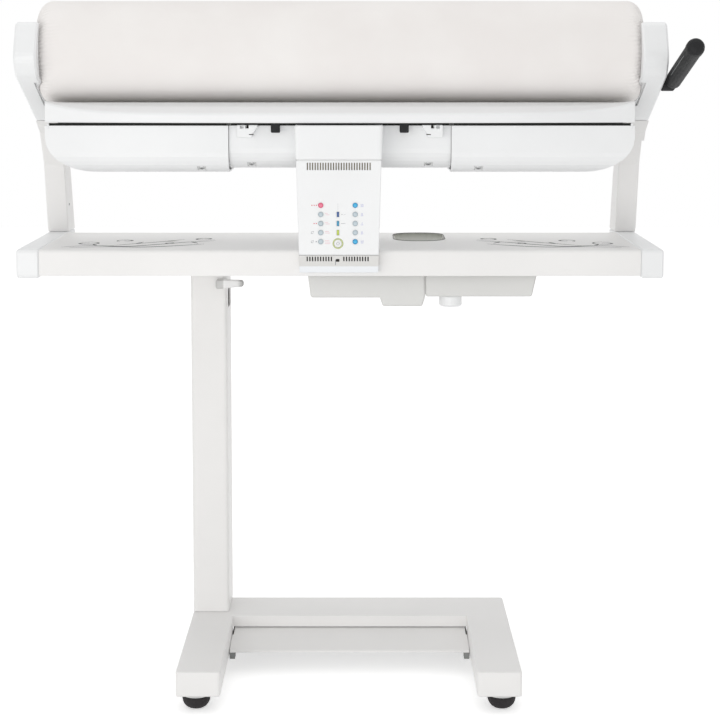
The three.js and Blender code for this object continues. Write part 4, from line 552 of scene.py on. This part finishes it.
def crease(x, angle):
    """Depth of the folds: gathers at the rounded ends, and long shallow ones between them."""
    near_end = max(0.0, 1 - (CLOTH_HALF - abs(x)) / GATHER_REACH)
    side = math.copysign(1, x)
    gather = 0.5 + 0.5 * math.cos(GATHERS * angle + 1.6 * math.sin(7 * angle + side) + 9 * near_end * side)
    uneven = 0.65 + 0.35 * math.sin(5 * angle + 2 * side) * math.sin(11 * angle - side)
    long_one = math.sin(4 * angle + x / 130) * math.sin(x / 47 + 2 * math.sin(2 * angle))
    return GATHER_DEPTH * gather * uneven * near_end ** 1.5 + RIPPLE_DEPTH * (1 + long_one)


def cloth_profile():
    """(x, radius) points from the left turned-in edge to the right one."""
    shoulder = CLOTH_RADIUS - END_ROUND
    flat = CLOTH_HALF - END_ROUND
    right = []
    for k in range(END_STEPS + 1):
        angle = math.pi / 2 * k / END_STEPS
        right.append((flat + END_ROUND * math.sin(angle), shoulder + END_ROUND * math.cos(angle)))
    right += [(CLOTH_HALF - TUCK_LEAN * k / 3, shoulder - TUCK * k / 3) for k in range(1, 4)]
    straight = [(flat * (2 * k / STRAIGHT_SPANS - 1), CLOTH_RADIUS) for k in range(1, STRAIGHT_SPANS)]
    left = [(-x, radius) for x, radius in reversed(right)]
    return left + straight + right


def make_roller_cloth():
    profile = cloth_profile()
    vertices = []
    for i in range(CLOTH_STEPS):
        angle = 2 * math.pi * i / CLOTH_STEPS
        for x, radius in profile:
            depth = crease(x, angle)
            inward = depth * max(0.0, (abs(x) - CLOTH_HALF + END_ROUND) / END_ROUND)
            r = radius - depth
            vertices.append((
                CLOTH_AXIS.x + x - math.copysign(inward, x),
                CLOTH_AXIS.y + r * math.cos(angle), CLOTH_AXIS.z + r * math.sin(angle),
            ))
    count = len(profile)
    faces = []
    for i in range(CLOTH_STEPS):
        here, ahead = i * count, (i + 1) % CLOTH_STEPS * count
        faces += [(here + j, here + j + 1, ahead + j + 1, ahead + j) for j in range(count - 1)]
    cloth = add_piece(
        "padded_cover", [(vertices, faces)], MATERIALS["roller_cloth"], "roller", smooth=True,
    )
    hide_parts("roller_cloth")


LINING_RADIUS = 76.3
LINING_START, LINING_END = 413.6, 422.35  # along X from the roller's middle
LINING_INSIDE = [  # (x, radius) points along the cloth's rounded end
    (LINING_START, 69.9), (416.4, 67.4), (418.8, 64.1), (420.6, 60.1), (421.9, 56.0), (LINING_END, 53.5),
]
LINING_TOP = 852
CHIN_CUT_NORMAL = Vector((0, -0.3857, -0.9226))
CHIN_CUT_DISTANCE = 60.5  # from the roller's axis


def make_arm_linings():
    """Pale lining low in each arm's pocket, beside the cloth's end and cut level with the arm's chin."""
    section = [(LINING_RADIUS, LINING_START)] + [(radius, x) for x, radius in LINING_INSIDE]
    section.append((LINING_RADIUS, LINING_END))
    cuts = [
        (CLOTH_AXIS + CHIN_CUT_DISTANCE * CHIN_CUT_NORMAL, CHIN_CUT_NORMAL),
        (Vector((0, 0, LINING_TOP)), Vector((0, 0, 1))),
    ]
    for side, sign in (("left", -1), ("right", 1)):
        turn = Matrix((
            (0, 0, sign, CLOTH_AXIS.x), (1, 0, 0, CLOTH_AXIS.y), (0, 1, 0, CLOTH_AXIS.z), (0, 0, 0, 1),
        ))
        ring = moved(lathe(section, 96, True), turn)
        lining = add_piece(
            f"arm_lining_{side}", [ring], MATERIALS["white_casing"], "head",
        )
        mesh = bmesh.new()
        mesh.from_mesh(lining.data)
        for place, normal in cuts:
            bmesh.ops.bisect_plane(
                mesh, geom=mesh.verts[:] + mesh.edges[:] + mesh.faces[:],
                plane_co=place * MM, plane_no=normal, clear_outer=True,
            )
            bmesh.ops.holes_fill(mesh, edges=[edge for edge in mesh.edges if edge.is_boundary])
        bmesh.ops.recalc_face_normals(mesh, faces=mesh.faces[:])
        mesh.to_mesh(lining.data)
        mesh.free()


make_roller_cloth()
make_arm_linings()

# ---------------------------------------------------------------- shoe covers

COVERS = {side: node_box(f"shoe_cover_{side}") for side in ("left", "middle", "right")}
COVER_FRONT = COVERS["left"][0].y
COVER_TOP = COVERS["left"][1].z
COVER_WALL = 2.5
GUARD_LOW = node_box("finger_guard")[0].z
SHADE_STRIP_INSET = 3  # from the ends of its cover
SHADE_STRIP_DROP = 12  # below the covers' upper edge
SHADE_STRIP_RISE = 3.4  # above it, and clear of the guard when it tilts
SHADE_STRIP_DEPTH = 1.6
SHADE_STRIP_GAP = 0.2  # behind the cover's wall
COWL_SHADE_STRIP = (37, 40)  # from the cowl's front
COWL_SHADE_STRIP_INSET = 2
GUARD_GAP = 0.6  # from the cowl's strip to the guard
PEG_WIDTH = 3
PEG_DROP, PEG_RISE = 5, 3.4  # below and above the covers' upper edge
PEG_PROUD, PEG_DEEP = 0.6, 1.6  # before and behind the covers' front
PEG_ROUND = 0.5
WELL_TILT = math.radians(55)  # below the horizontal that a screw's well faces
WELLS = [  # (x, y, z) of the middle of each well's mouth
    (-206.35, -75.98, 727.66), (175.65, -75.98, 727.66), (-137.35, -71.98, 733.16), (106.65, -71.98, 733.16),
]
WELL_DEPTH = 2.1
SCREW_CUP = [(0, -1), (5.7, -1), (5.7, 0.9), (5.1, 0.9), (4.6, 0), (0, 0)]
SCREW_HEAD = [(3.9, 0.05), (3.9, 0.6), (3.5, 1.2), (2.4, 1.6), (0, 1.75)]
CROSS_HALF, CROSS_WIDTH, CROSS_HEIGHT = 1.9, 0.7, 1.82
CROSS_TURN = 20  # degrees
CLIP_SPAN = 19.4  # that a clip's marks are spaced over, from its inner end
NOTCHES = (0.33, 0.67)  # shares of that span
NOTCH_HALF = 2.1
SLIT_SHARE = 0.42
SLIT_HALF = 3.2


def make_gap_shade():
    """Dark strips inside the covers' upper edges and on the cowl, seen in the gap below the guard: painted
    shade.
    """
    strips = []
    for low, high in COVERS.values():
        back = low.y + COVER_WALL + SHADE_STRIP_GAP
        strips.append(block(
            (low.x + SHADE_STRIP_INSET, back, COVER_TOP - SHADE_STRIP_DROP),
            (high.x - SHADE_STRIP_INSET, back + SHADE_STRIP_DEPTH, COVER_TOP + SHADE_STRIP_RISE),
        ))
    low, high = node_box("panel_cowl")
    near, far = COWL_SHADE_STRIP
    strips.append(block(
        (low.x + COWL_SHADE_STRIP_INSET, low.y + near, high.z),
        (high.x - COWL_SHADE_STRIP_INSET, low.y + far, GUARD_LOW - GUARD_GAP),
    ))
    add_piece("gap_shade_strips", strips, GAP_SHADE_DARK, "shoe")


def make_gap_pegs():
    """White pegs at the ends of the covers' upper edges, under the guard."""
    pegs = []
    for x in (COVERS["left"][0].x + PEG_WIDTH, COVERS["right"][1].x - 2 * PEG_WIDTH):
        pegs.append(block(
            (x, COVER_FRONT - PEG_PROUD, COVER_TOP - PEG_DROP),
            (x + PEG_WIDTH, COVER_FRONT + PEG_DEEP, COVER_TOP + PEG_RISE), PEG_ROUND,
        ))
    add_piece("gap_pegs", pegs, MATERIALS["white_casing"], "shoe")


def make_screws():
    """Pan head screws with a cross recess, each in a pale cup; the recess is a flat grey cross on the head:
    painted shade.
    """
    normal = (0, -math.cos(WELL_TILT), -math.sin(WELL_TILT))
    cups, heads, marks = [], [], []
    for well in WELLS:
        seat = Vector(well) - WELL_DEPTH * Vector(normal)
        matrix = facing(seat, normal)
        cups.append(moved(lathe(SCREW_CUP, 28), matrix))
        heads.append(moved(lathe(SCREW_HEAD, 24), matrix))
        for turn in (0, 90):
            bar = stroke([(-CROSS_HALF, 0), (CROSS_HALF, 0)], CROSS_WIDTH)
            bar = moved(bar, Matrix.Rotation(math.radians(turn + CROSS_TURN), 4, "Z"))
            marks.append(moved(bar, matrix @ Matrix.Translation((0, 0, CROSS_HEIGHT))))
    add_piece("cover_screw_cups", cups, PALE_PLASTIC, "shoe")
    add_piece("cover_screws", heads, SCREW_STEEL, "shoe")
    add_piece("cover_screw_recess_shade", marks, RIB_GREY, "shoe")


def make_clip_notch_shade():
    """Dark sheets at the backs of the two notches in each guard clip, and in the slit below them: painted
    shade.
    """
    backs = []
    for side, sign in (("left", 1), ("right", -1)):
        low, high = node_box(f"guard_clip_{side}")
        inner = high.x if side == "left" else low.x
        for share in NOTCHES:
            x = inner - sign * share * CLIP_SPAN
            backs.append(block(
                (x - NOTCH_HALF, low.y + 5.6, high.z - 4.3), (x + NOTCH_HALF, low.y + 6.4, high.z - 0.2),
            ))
        x = inner - sign * SLIT_SHARE * CLIP_SPAN
        backs.append(block(
            (x - SLIT_HALF, low.y - 0.15, low.z + 3.6), (x + SLIT_HALF, low.y + 0.3, low.z + 4.8),
        ))
    add_piece("clip_notch_shade", backs, PAINTED_SHADE_DARK, "shoe")


make_gap_shade()
make_gap_pegs()
make_screws()
make_clip_notch_shade()

# ---------------------------------------------------------------- panel

FASCIA_LOW, FASCIA_HIGH = node_box("panel_fascia")
FACE = FASCIA_LOW.y
PANEL_MIDDLE = (FASCIA_LOW.x + FASCIA_HIGH.x) / 2
KEYS = {name: node_box(name) for name in frame["nodes"] if name.startswith("key_")}
KEY_LEFT = (KEYS["key_left_1"][0].x + KEYS["key_left_1"][1].x) / 2
KEY_RIGHT = (KEYS["key_right_1"][0].x + KEYS["key_right_1"][1].x) / 2
ROWS = [(KEYS[f"key_left_{row}"][0].z + KEYS[f"key_left_{row}"][1].z) / 2 for row in range(1, 6)]
POWER_LOW, POWER_HIGH = node_box("power_button")
POWER = ((POWER_LOW.x + POWER_HIGH.x) / 2, (POWER_LOW.z + POWER_HIGH.z) / 2)
POWER_RADIUS = (POWER_HIGH.x - POWER_LOW.x) / 2
TOP_SLOTS, TOP_SLOT_PITCH, TOP_SLOT_HEIGHT = 25, 3.54, 10
LOW_SLOTS, LOW_SLOT_PITCH, LOW_SLOT_HEIGHT = 10, 3.66, 6.5
TOP_SLOT_Z = FASCIA_HIGH.z - 8.2
LOW_SLOT_Z = FASCIA_LOW.z - 5.5
LOW_MIDDLE = PANEL_MIDDLE - 1.7
LOW_SLOT_START = 8.5
SLOT_WIDTH = 1.7
FOOT_SLOPE = math.atan2(5.5, 15.6)  # lean of the band below the face
VENT_INSET = 0.03  # of a slot's painted-shade sheet from the slot's sides
TOP_BACK = (1.6, 4.6)  # behind the face
LOW_BACK = (4.9, 10.9)
LOW_NOTCH_HALF = 2.4
KEY_RIM = [  # (beyond the key's radius, height)
    (-0.02, -1.2), (0.06, -0.2), (-0.1, 0.12), (-0.5, 0.16), (-0.85, 0.02), (-0.85, -0.4),
]
RING_INNER = POWER_RADIUS + 0.35
RING_SECTION = [(0, -0.5), (0, 0.5), (0.4, 0.75), (0.95, 0.6), (1.0, -0.5)]  # (beyond RING_INNER, height)
RING_EDGE_SECTION = [(1.0, 0.0), (1.0, 0.5), (1.4, 0.3), (1.5, 0.0)]
DOT_RADIUS = 0.75
NOTCH_LINE_WIDTH = 0.8
NOTCH_LINE_LENGTH = 7.8


def make_vent_shade():
    """Brown sheets behind the upper vent slots, and dark ones behind the lower slots and the notch between
    them: painted shade.
    """
    half = SLOT_WIDTH / 2 - VENT_INSET
    tall = TOP_SLOT_HEIGHT / 2 - VENT_INSET
    near, far = TOP_BACK
    upper = []
    for i in range(TOP_SLOTS):
        x = PANEL_MIDDLE + (i - (TOP_SLOTS - 1) / 2) * TOP_SLOT_PITCH
        upper.append(block(
            (x - half, FACE + near, TOP_SLOT_Z - tall), (x + half, FACE + far, TOP_SLOT_Z + tall),
        ))
    add_piece("upper_vent_shade", upper, PAINTED_SHADE_BROWN, "head")
    tall = LOW_SLOT_HEIGHT / 2 - VENT_INSET
    near, far = LOW_BACK
    lower = []
    for sign in (-1, 1):
        for i in range(LOW_SLOTS):
            x = LOW_MIDDLE + sign * (LOW_SLOT_START + i * LOW_SLOT_PITCH)
            lower.append(block(
                (x - half, FACE + near, LOW_SLOT_Z - tall), (x + half, FACE + far, LOW_SLOT_Z + tall),
            ))
    lower.append(block(
        (LOW_MIDDLE - LOW_NOTCH_HALF, FACE + 4.4, LOW_SLOT_Z - 3.9),
        (LOW_MIDDLE + LOW_NOTCH_HALF, FACE + far, LOW_SLOT_Z - 0.1),
    ))
    add_piece("lower_vent_shade", lower, PAINTED_SHADE_DARK, "head")


def make_shaded_key_rims():
    """Darker copy of each key's colour on a rim round its face: painted shade."""
    for name, (low, high) in KEYS.items():
        radius = (high.x - low.x) / 2
        matrix = facing(((low.x + high.x) / 2, low.y + 0.05, (low.z + high.z) / 2), (0, -1, 0))
        rim = lathe([(radius + beyond, height) for beyond, height in KEY_RIM], 28)
        row = int(name[-1])
        side = name.split("_")[1]
        blue = side == "right" and row in (1, 5)
        material = SHADED_RIM_RED if (side, row) == ("left", 1) else SHADED_RIM_BLUE if blue else SHADED_RIM_GREY
        add_piece(f"rim_{name}", [moved(rim, matrix)], material, f"key_{side[0]}{row}")


def make_key_gap_light():
    """Pale flat ring over the shaded gap round each key: painted light."""
    collars = []
    for low, high in KEYS.values():
        radius = (high.x - low.x) / 2
        collars.append(arc((low.x + high.x) / 2, (low.z + high.z) / 2, radius + 0.1, radius + 0.8))
    printed("key_gap_light", collars, on_front(FACE), PALE_PLASTIC, "head")


def make_power_ring():
    """Green ring round the power button, its outer edge in a darker olive copy of the green as painted
    shade, and the usual sign on the button.
    """
    x, z = POWER
    matrix = facing((x, FACE, z), (0, -1, 0))
    for name, section, material in (
        ("power_ring", RING_SECTION, RING_GREEN), ("power_ring_edge_shade", RING_EDGE_SECTION, RING_EDGE_SHADE),
    ):
        ring = lathe([(RING_INNER + beyond, height) for beyond, height in section], 40)
        add_piece(name, [moved(ring, matrix)], material, "head")
    sign = [arc(x, z, 1.7, 2.2, 125, 415), stroke([(x, z + 0.6), (x, z + 2.7)], 0.5)]
    printed("power_sign", sign, on_front(POWER_LOW.y - 0.02), INK_GREY, "power")


def steam_sign(u, v, lines):
    """Small sign of steam: short wavy lines over a bar."""
    shapes = [stroke([(u - 1.9, v - 1.9), (u + 1.9, v - 1.9)], 0.45)]
    for i in range(lines):
        start = u + (i - (lines - 1) / 2) * 1.4
        shapes.append(stroke(
            [(start + 0.3 * math.sin(k * 1.3), v - 1.2 + k * 0.42) for k in range(8)], 0.42,
        ))
    return shapes


def pot_sign(u, v):
    """Small sign of a jug with a stroke through it."""
    return [
        arc(u, v, 1.25, 1.6), stroke([(u + 1.0, v + 0.9), (u + 2.3, v + 2.1)], 0.4),
        stroke([(u - 1.7, v - 1.5), (u - 0.5, v - 0.2)], 0.35),
    ]


def make_panel_prints():
    """Dots, dashes and small signs printed beside the keys."""
    face = on_front(FACE)
    red = [disc(KEY_LEFT - gap, ROWS[0], DOT_RADIUS) for gap in (5.9, 8.9, 11.9)]
    red += [disc(KEY_LEFT - gap, ROWS[2], DOT_RADIUS) for gap in (6.0, 9.0)]
    printed("panel_dots_red", red, face, INK_RED, "head")
    grey = [disc(KEY_LEFT - 6.2, ROWS[4], DOT_RADIUS)]
    for row in (3, 4):
        grey += pot_sign(KEY_LEFT - 11.6, ROWS[row])
    for row, dashes in ((1, (-13.4, -11.6, -8.6)), (2, (-13.4, -12.0, -10.4, -8.8))):
        for x in dashes:
            ends = [(x + PANEL_MIDDLE + 16.5, ROWS[row]), (x + PANEL_MIDDLE + 17.4, ROWS[row])]
            grey.append(stroke(ends, 0.6))
    grey.append(stroke([(POWER[0], ROWS[0] + 2.6), (POWER[0], ROWS[1] + 5.2)], 0.18))
    printed("panel_marks_grey", grey, face, INK_GREY, "head")
    pink = []
    for row, lines in ((1, 2), (2, 2), (3, 2), (4, 3)):
        for k in range(lines):
            left = KEY_LEFT + 5.6 + 1.1 * (k % 2) * (4 - row) * 0.4
            right = left + 4.2 + 0.8 * row - 1.2 * (k == 0)
            v = ROWS[row] + 1.5 - 2.1 * k
            pink.append(stroke([(left, v), (right, v)], 0.55))
    printed("panel_marks_pink", pink, face, INK_PINK, "head")
    violet = []
    for row, lines in enumerate((3, 2, 1, 2, 3)):
        violet += steam_sign(KEY_RIGHT + 9.3, ROWS[row], lines)
    printed("panel_signs_violet", violet, face, INK_VIOLET, "head")


def make_notch_line():
    """Grey line down the sloping band below the face, left of the notch."""
    left, top = LOW_MIDDLE - 3.4, LOW_SLOT_Z - 1.5
    right = left + NOTCH_LINE_WIDTH
    front = FACE + 0.5 + (FASCIA_LOW.z - 0.4 - top) * math.tan(FOOT_SLOPE) - 0.15
    back = front + NOTCH_LINE_LENGTH * math.sin(FOOT_SLOPE)
    bottom = top - NOTCH_LINE_LENGTH * math.cos(FOOT_SLOPE)
    corners = [(left, front, top), (right, front, top), (right, back, bottom), (left, back, bottom)]
    add_piece("notch_line", [(corners, [(0, 1, 2, 3)])], INK_GREY, "head")


def make_panel_seam_light():
    """Pale strip on the face's upper edge, filling the shaded seam under the cowl: painted light."""
    add_piece("panel_seam_light", [block(
        (FASCIA_LOW.x + 1.5, FACE - 1.6, FASCIA_HIGH.z),
        (FASCIA_HIGH.x - 1.5, FACE + 2.6, FASCIA_HIGH.z + 0.85),
    )], PALE_PLASTIC, "head")


make_vent_shade()
make_panel_seam_light()
make_shaded_key_rims()
make_key_gap_light()
make_power_ring()
make_panel_prints()
make_notch_line()

# ---------------------------------------------------------------- shelf

SHELF_TOP = node_box("shelf")[1].z
SPRAYS = ((-300, 1), (284, -1))  # (middle along X, direction)
STEMS = [  # (points, width)
    ([(-104, -66), (-62, -44), (-18, -58), (26, -30), (66, 4), (104, 24)], 5.6),
    ([(-92, -72), (-40, -62), (12, -66), (58, -46), (92, -22)], 6.4),
    ([(-40, -50), (-10, -22), (24, 6), (58, 44)], 4.0),
]
VOLUTES = [  # (u, v, radius, turns, start in degrees)
    (-76, -14, 21, 1.25, 30), (-24, 24, 15, 1.1, 200), (88, 50, 18, 1.2, 250), (40, -12, 10, 1.0, 120),
]
VOLUTE_WIDTH = 4.0
LEAVES = [  # (u, v, length, angle in degrees)
    (-6, -20, 26, 70), (30, 14, 24, 20), (70, 8, 26, 300), (-58, -46, 22, 110),
]
LEAF_WIDTH = 4.6
EDGE_SHADE_ROUND = 33.6  # radius of the ring's corners
EDGE_SHADE_SECTION = [(-1.2, 0.05), (-0.9, 0.5), (-0.3, 0.7), (0.3, 0.6), (0.6, 0.35), (0.75, 0.05)]
POST_SLOT_PLACE = (168, 659.6)  # along Y and Z
POST_SLOT_RADIUS = 1.9
POST_SLOT_STRETCH = 2.0  # along Y


def between(p, q, r, s, t):
    """Catmull-Rom value at share t of the way from q to r."""
    square = 2 * p - 5 * q + 4 * r - s
    cube = 3 * q - p - 3 * r + s
    return 0.5 * (2 * q + (r - p) * t + square * t * t + cube * t ** 3)


def wave_stem(points, steps=14):
    """Smooth line through the points."""
    out = []
    padded = [points[0]] + list(points) + [points[-1]]
    for a, b, c, d in zip(padded, padded[1:], padded[2:], padded[3:]):
        for k in range(steps):
            t = k / steps
            out.append(tuple(between(p, q, r, s, t) for p, q, r, s in zip(a, b, c, d)))
    return out + [points[-1]]


def volute(u, v, radius, turns, start, steps=40):
    """Spiral that opens outwards from (u, v)."""
    points = []
    for k in range(steps + 1):
        share = k / steps
        angle = math.radians(start) + 2 * math.pi * turns * share
        reach = radius * (0.18 + 0.82 * share)
        points.append((u + reach * math.cos(angle), v + reach * math.sin(angle)))
    return points


def tapered(points, width):
    """Stroke that is thin at both ends, as from a pen."""
    count = len(points) - 1
    return stroke(points, [width * (0.25 + 0.75 * math.sin(math.pi * k / count)) for k in range(count + 1)])


def leaf(u, v, length, angle, width):
    """Small pointed leaf."""
    turn = Matrix.Rotation(math.radians(angle), 4, "Z")
    points = [Vector((length * k / 10, 0, 0)) for k in range(11)]
    widths = [width * math.sin(math.pi * (k / 10) ** 0.8) + 0.2 for k in range(11)]
    line = [((turn @ p).x + u, (turn @ p).y + v) for p in points]
    return stroke(line, widths)


def make_sprays():
    """A printed spray at each end of the shelf: wavy stems with volutes and leaves."""
    shapes = []
    for middle, flip in SPRAYS:
        lines = [(wave_stem(points), width) for points, width in STEMS]
        lines += [(volute(*spiral), VOLUTE_WIDTH) for spiral in VOLUTES]
        for points, width in lines:
            shapes.append(tapered([(middle + flip * u, v) for u, v in points], width))
        for u, v, length, angle in LEAVES:
            turned = angle if flip > 0 else 180 - angle
            shapes.append(leaf(middle + flip * u, v, length, turned, LEAF_WIDTH))
    printed("shelf_sprays", shapes, on_top(SHELF_TOP), INK_DARK, "head")


def make_bowl_edge_shade():
    """Dark ring round the filler's bowl, proud of the shelf and widest at the front-left: painted shade
    along the bowl's edge.
    """
    low, high = node_box("filler_bowl")
    left, right = low.x + EDGE_SHADE_ROUND, high.x - EDGE_SHADE_ROUND
    front, back = low.y + EDGE_SHADE_ROUND, high.y - EDGE_SHADE_ROUND
    vertices = []
    for x, y, start in ((right, back, 0), (left, back, 90), (left, front, 180), (right, front, 270)):
        for k in range(11):
            angle = math.radians(start + 9 * k)
            # widest towards the front-left, where the shade falls
            full = 0.45 + 0.55 * (0.5 + 0.5 * math.cos(angle - math.radians(215)))
            for r, z in EDGE_SHADE_SECTION:
                reach = EDGE_SHADE_ROUND + r * full
                vertices.append((x + reach * math.cos(angle), y + reach * math.sin(angle), SHELF_TOP + z))
    count = len(EDGE_SHADE_SECTION)
    loops = len(vertices) // count
    faces = []
    for i in range(loops):
        here, ahead = i * count, (i + 1) % loops * count
        faces += [(here + j, ahead + j, ahead + j + 1, here + j + 1) for j in range(count - 1)]
    add_piece("bowl_edge_shade_ring", [(vertices, faces)], BOWL_EDGE_SHADE, "head", smooth=True)


def make_post_slot_shade():
    """Small flat grey oval for a slot on the left post's inner face, which lies in the plane of the end
    cap's: painted shade.
    """
    x = node_box("shelf_end_cap_left")[1].x + PRINT_LIFT
    y, z = POST_SLOT_PLACE
    shape = arc(0, 0, 0.0, POST_SLOT_RADIUS, 0, 360, 18)
    matrix = Matrix(((0, 0, 1, x), (POST_SLOT_STRETCH, 0, 0, y), (0, 1, 0, z), (0, 0, 0, 1)))
    add_piece("post_slot_shade", [moved(shape, matrix)], BUFFER_GREY, "head")


make_sprays()
make_bowl_edge_shade()
make_post_slot_shade()

# ---------------------------------------------------------------- stand, pedal and lever

PEDAL_LOW, PEDAL_HIGH = node_box("pedal_plate")
SLIT_LINE = ((46.1, 41), (-44.9, 33.9))  # two (y, z) points of the line that the slits lie over
SLIT_ENDS = (14, 45)  # along Y
SLIT_LIFT = 0.12
WASHER_SECTION = [(6.2, 0), (18.6, 0), (19.2, 0.6), (19.2, 1.8), (18.6, 2.4), (6.2, 2.4)]
WASHER_BOTTOM = 17.7


def make_pedal_details():
    """Dark strips over the slits by the pedal's hinge, as painted shade, and grey buffers at its front
    corners.
    """
    slits, buffers = [], []
    (back, top), (front, bottom) = SLIT_LINE
    slope = (top - bottom) / (back - front)
    for x, inward in ((PEDAL_LOW.x, 1), (PEDAL_HIGH.x, -1)):
        near, far = sorted((x + 0.1 * inward, x + 1.8 * inward))
        corners = []
        for y in SLIT_ENDS:
            z = top - slope * (back - y) + SLIT_LIFT
            corners += [(near, y, z), (far, y, z)]
        slits.append((corners, [(0, 1, 3, 2)]))
        a, b = sorted((x - 0.3 * inward, x + 7.6 * inward))
        buffers.append(block((a, -45.4, PEDAL_LOW.z - 0.6), (b, -29.5, 30.4)))
    add_piece("pedal_slit_shade", slits, PAINTED_SHADE_DARK, "pedal")
    add_piece("pedal_buffers", buffers, BUFFER_GREY, "pedal")


def make_foot_washers():
    """Pale washer between each foot and the base."""
    washers = []
    for name in ("front_left", "front_right", "rear_left", "rear_right"):
        low, high = node_box(f"foot_{name}")
        matrix = Matrix.Translation(((low.x + high.x) / 2, (low.y + high.y) / 2, WASHER_BOTTOM))
        washers.append(moved(lathe(WASHER_SECTION, 32, True), matrix))
    add_piece("foot_washers", washers, PALE_PLASTIC, "stand")


LEVER_AXIS = (447.65, -33.918, 845)
LEVER_RISE = math.radians(15)
GRIP_RADIUS = 11.4
GRIP_DOME_START = 186  # from the lever's axis
GRIP_HIGHLIGHTS = ((205, 22, 168), (160, 60, 160))  # (degrees round the grip, start, end)
GRIP_HIGHLIGHT_HALF = 0.035  # radians
GRIP_RIM = [(-0.4, -0.9), (0.25, -0.5), (0.25, 0.3), (-0.4, 0.7)]  # (beyond the grip's radius, height)


def make_grip_highlights():
    """Two grey lines along the grip as painted highlights, and a grey rim below its domed end."""
    along = Vector((0, -math.cos(LEVER_RISE), math.sin(LEVER_RISE)))
    side = Vector((1, 0, 0))
    up = side.cross(along)
    shapes = []
    for degrees, start, end in GRIP_HIGHLIGHTS:
        angle = math.radians(degrees)
        points = []
        for offset in (-GRIP_HIGHLIGHT_HALF, GRIP_HIGHLIGHT_HALF):
            outward = side * math.cos(angle + offset) + up * math.sin(angle + offset)
            for reach in (start, end):
                points.append(tuple(Vector(LEVER_AXIS) + along * reach + outward * (GRIP_RADIUS + 0.1)))
        shapes.append((points, [(0, 1, 3, 2)]))
    add_piece("grip_highlights", shapes, RIB_GREY, "hand_lever")
    base = Vector(LEVER_AXIS) + along * GRIP_DOME_START
    rim = lathe([(GRIP_RADIUS + beyond, height) for beyond, height in GRIP_RIM], 36)
    add_piece("grip_rim", [moved(rim, facing(base, along))], RIB_GREY, "hand_lever")


make_pedal_details()
make_foot_washers()
make_grip_highlights()
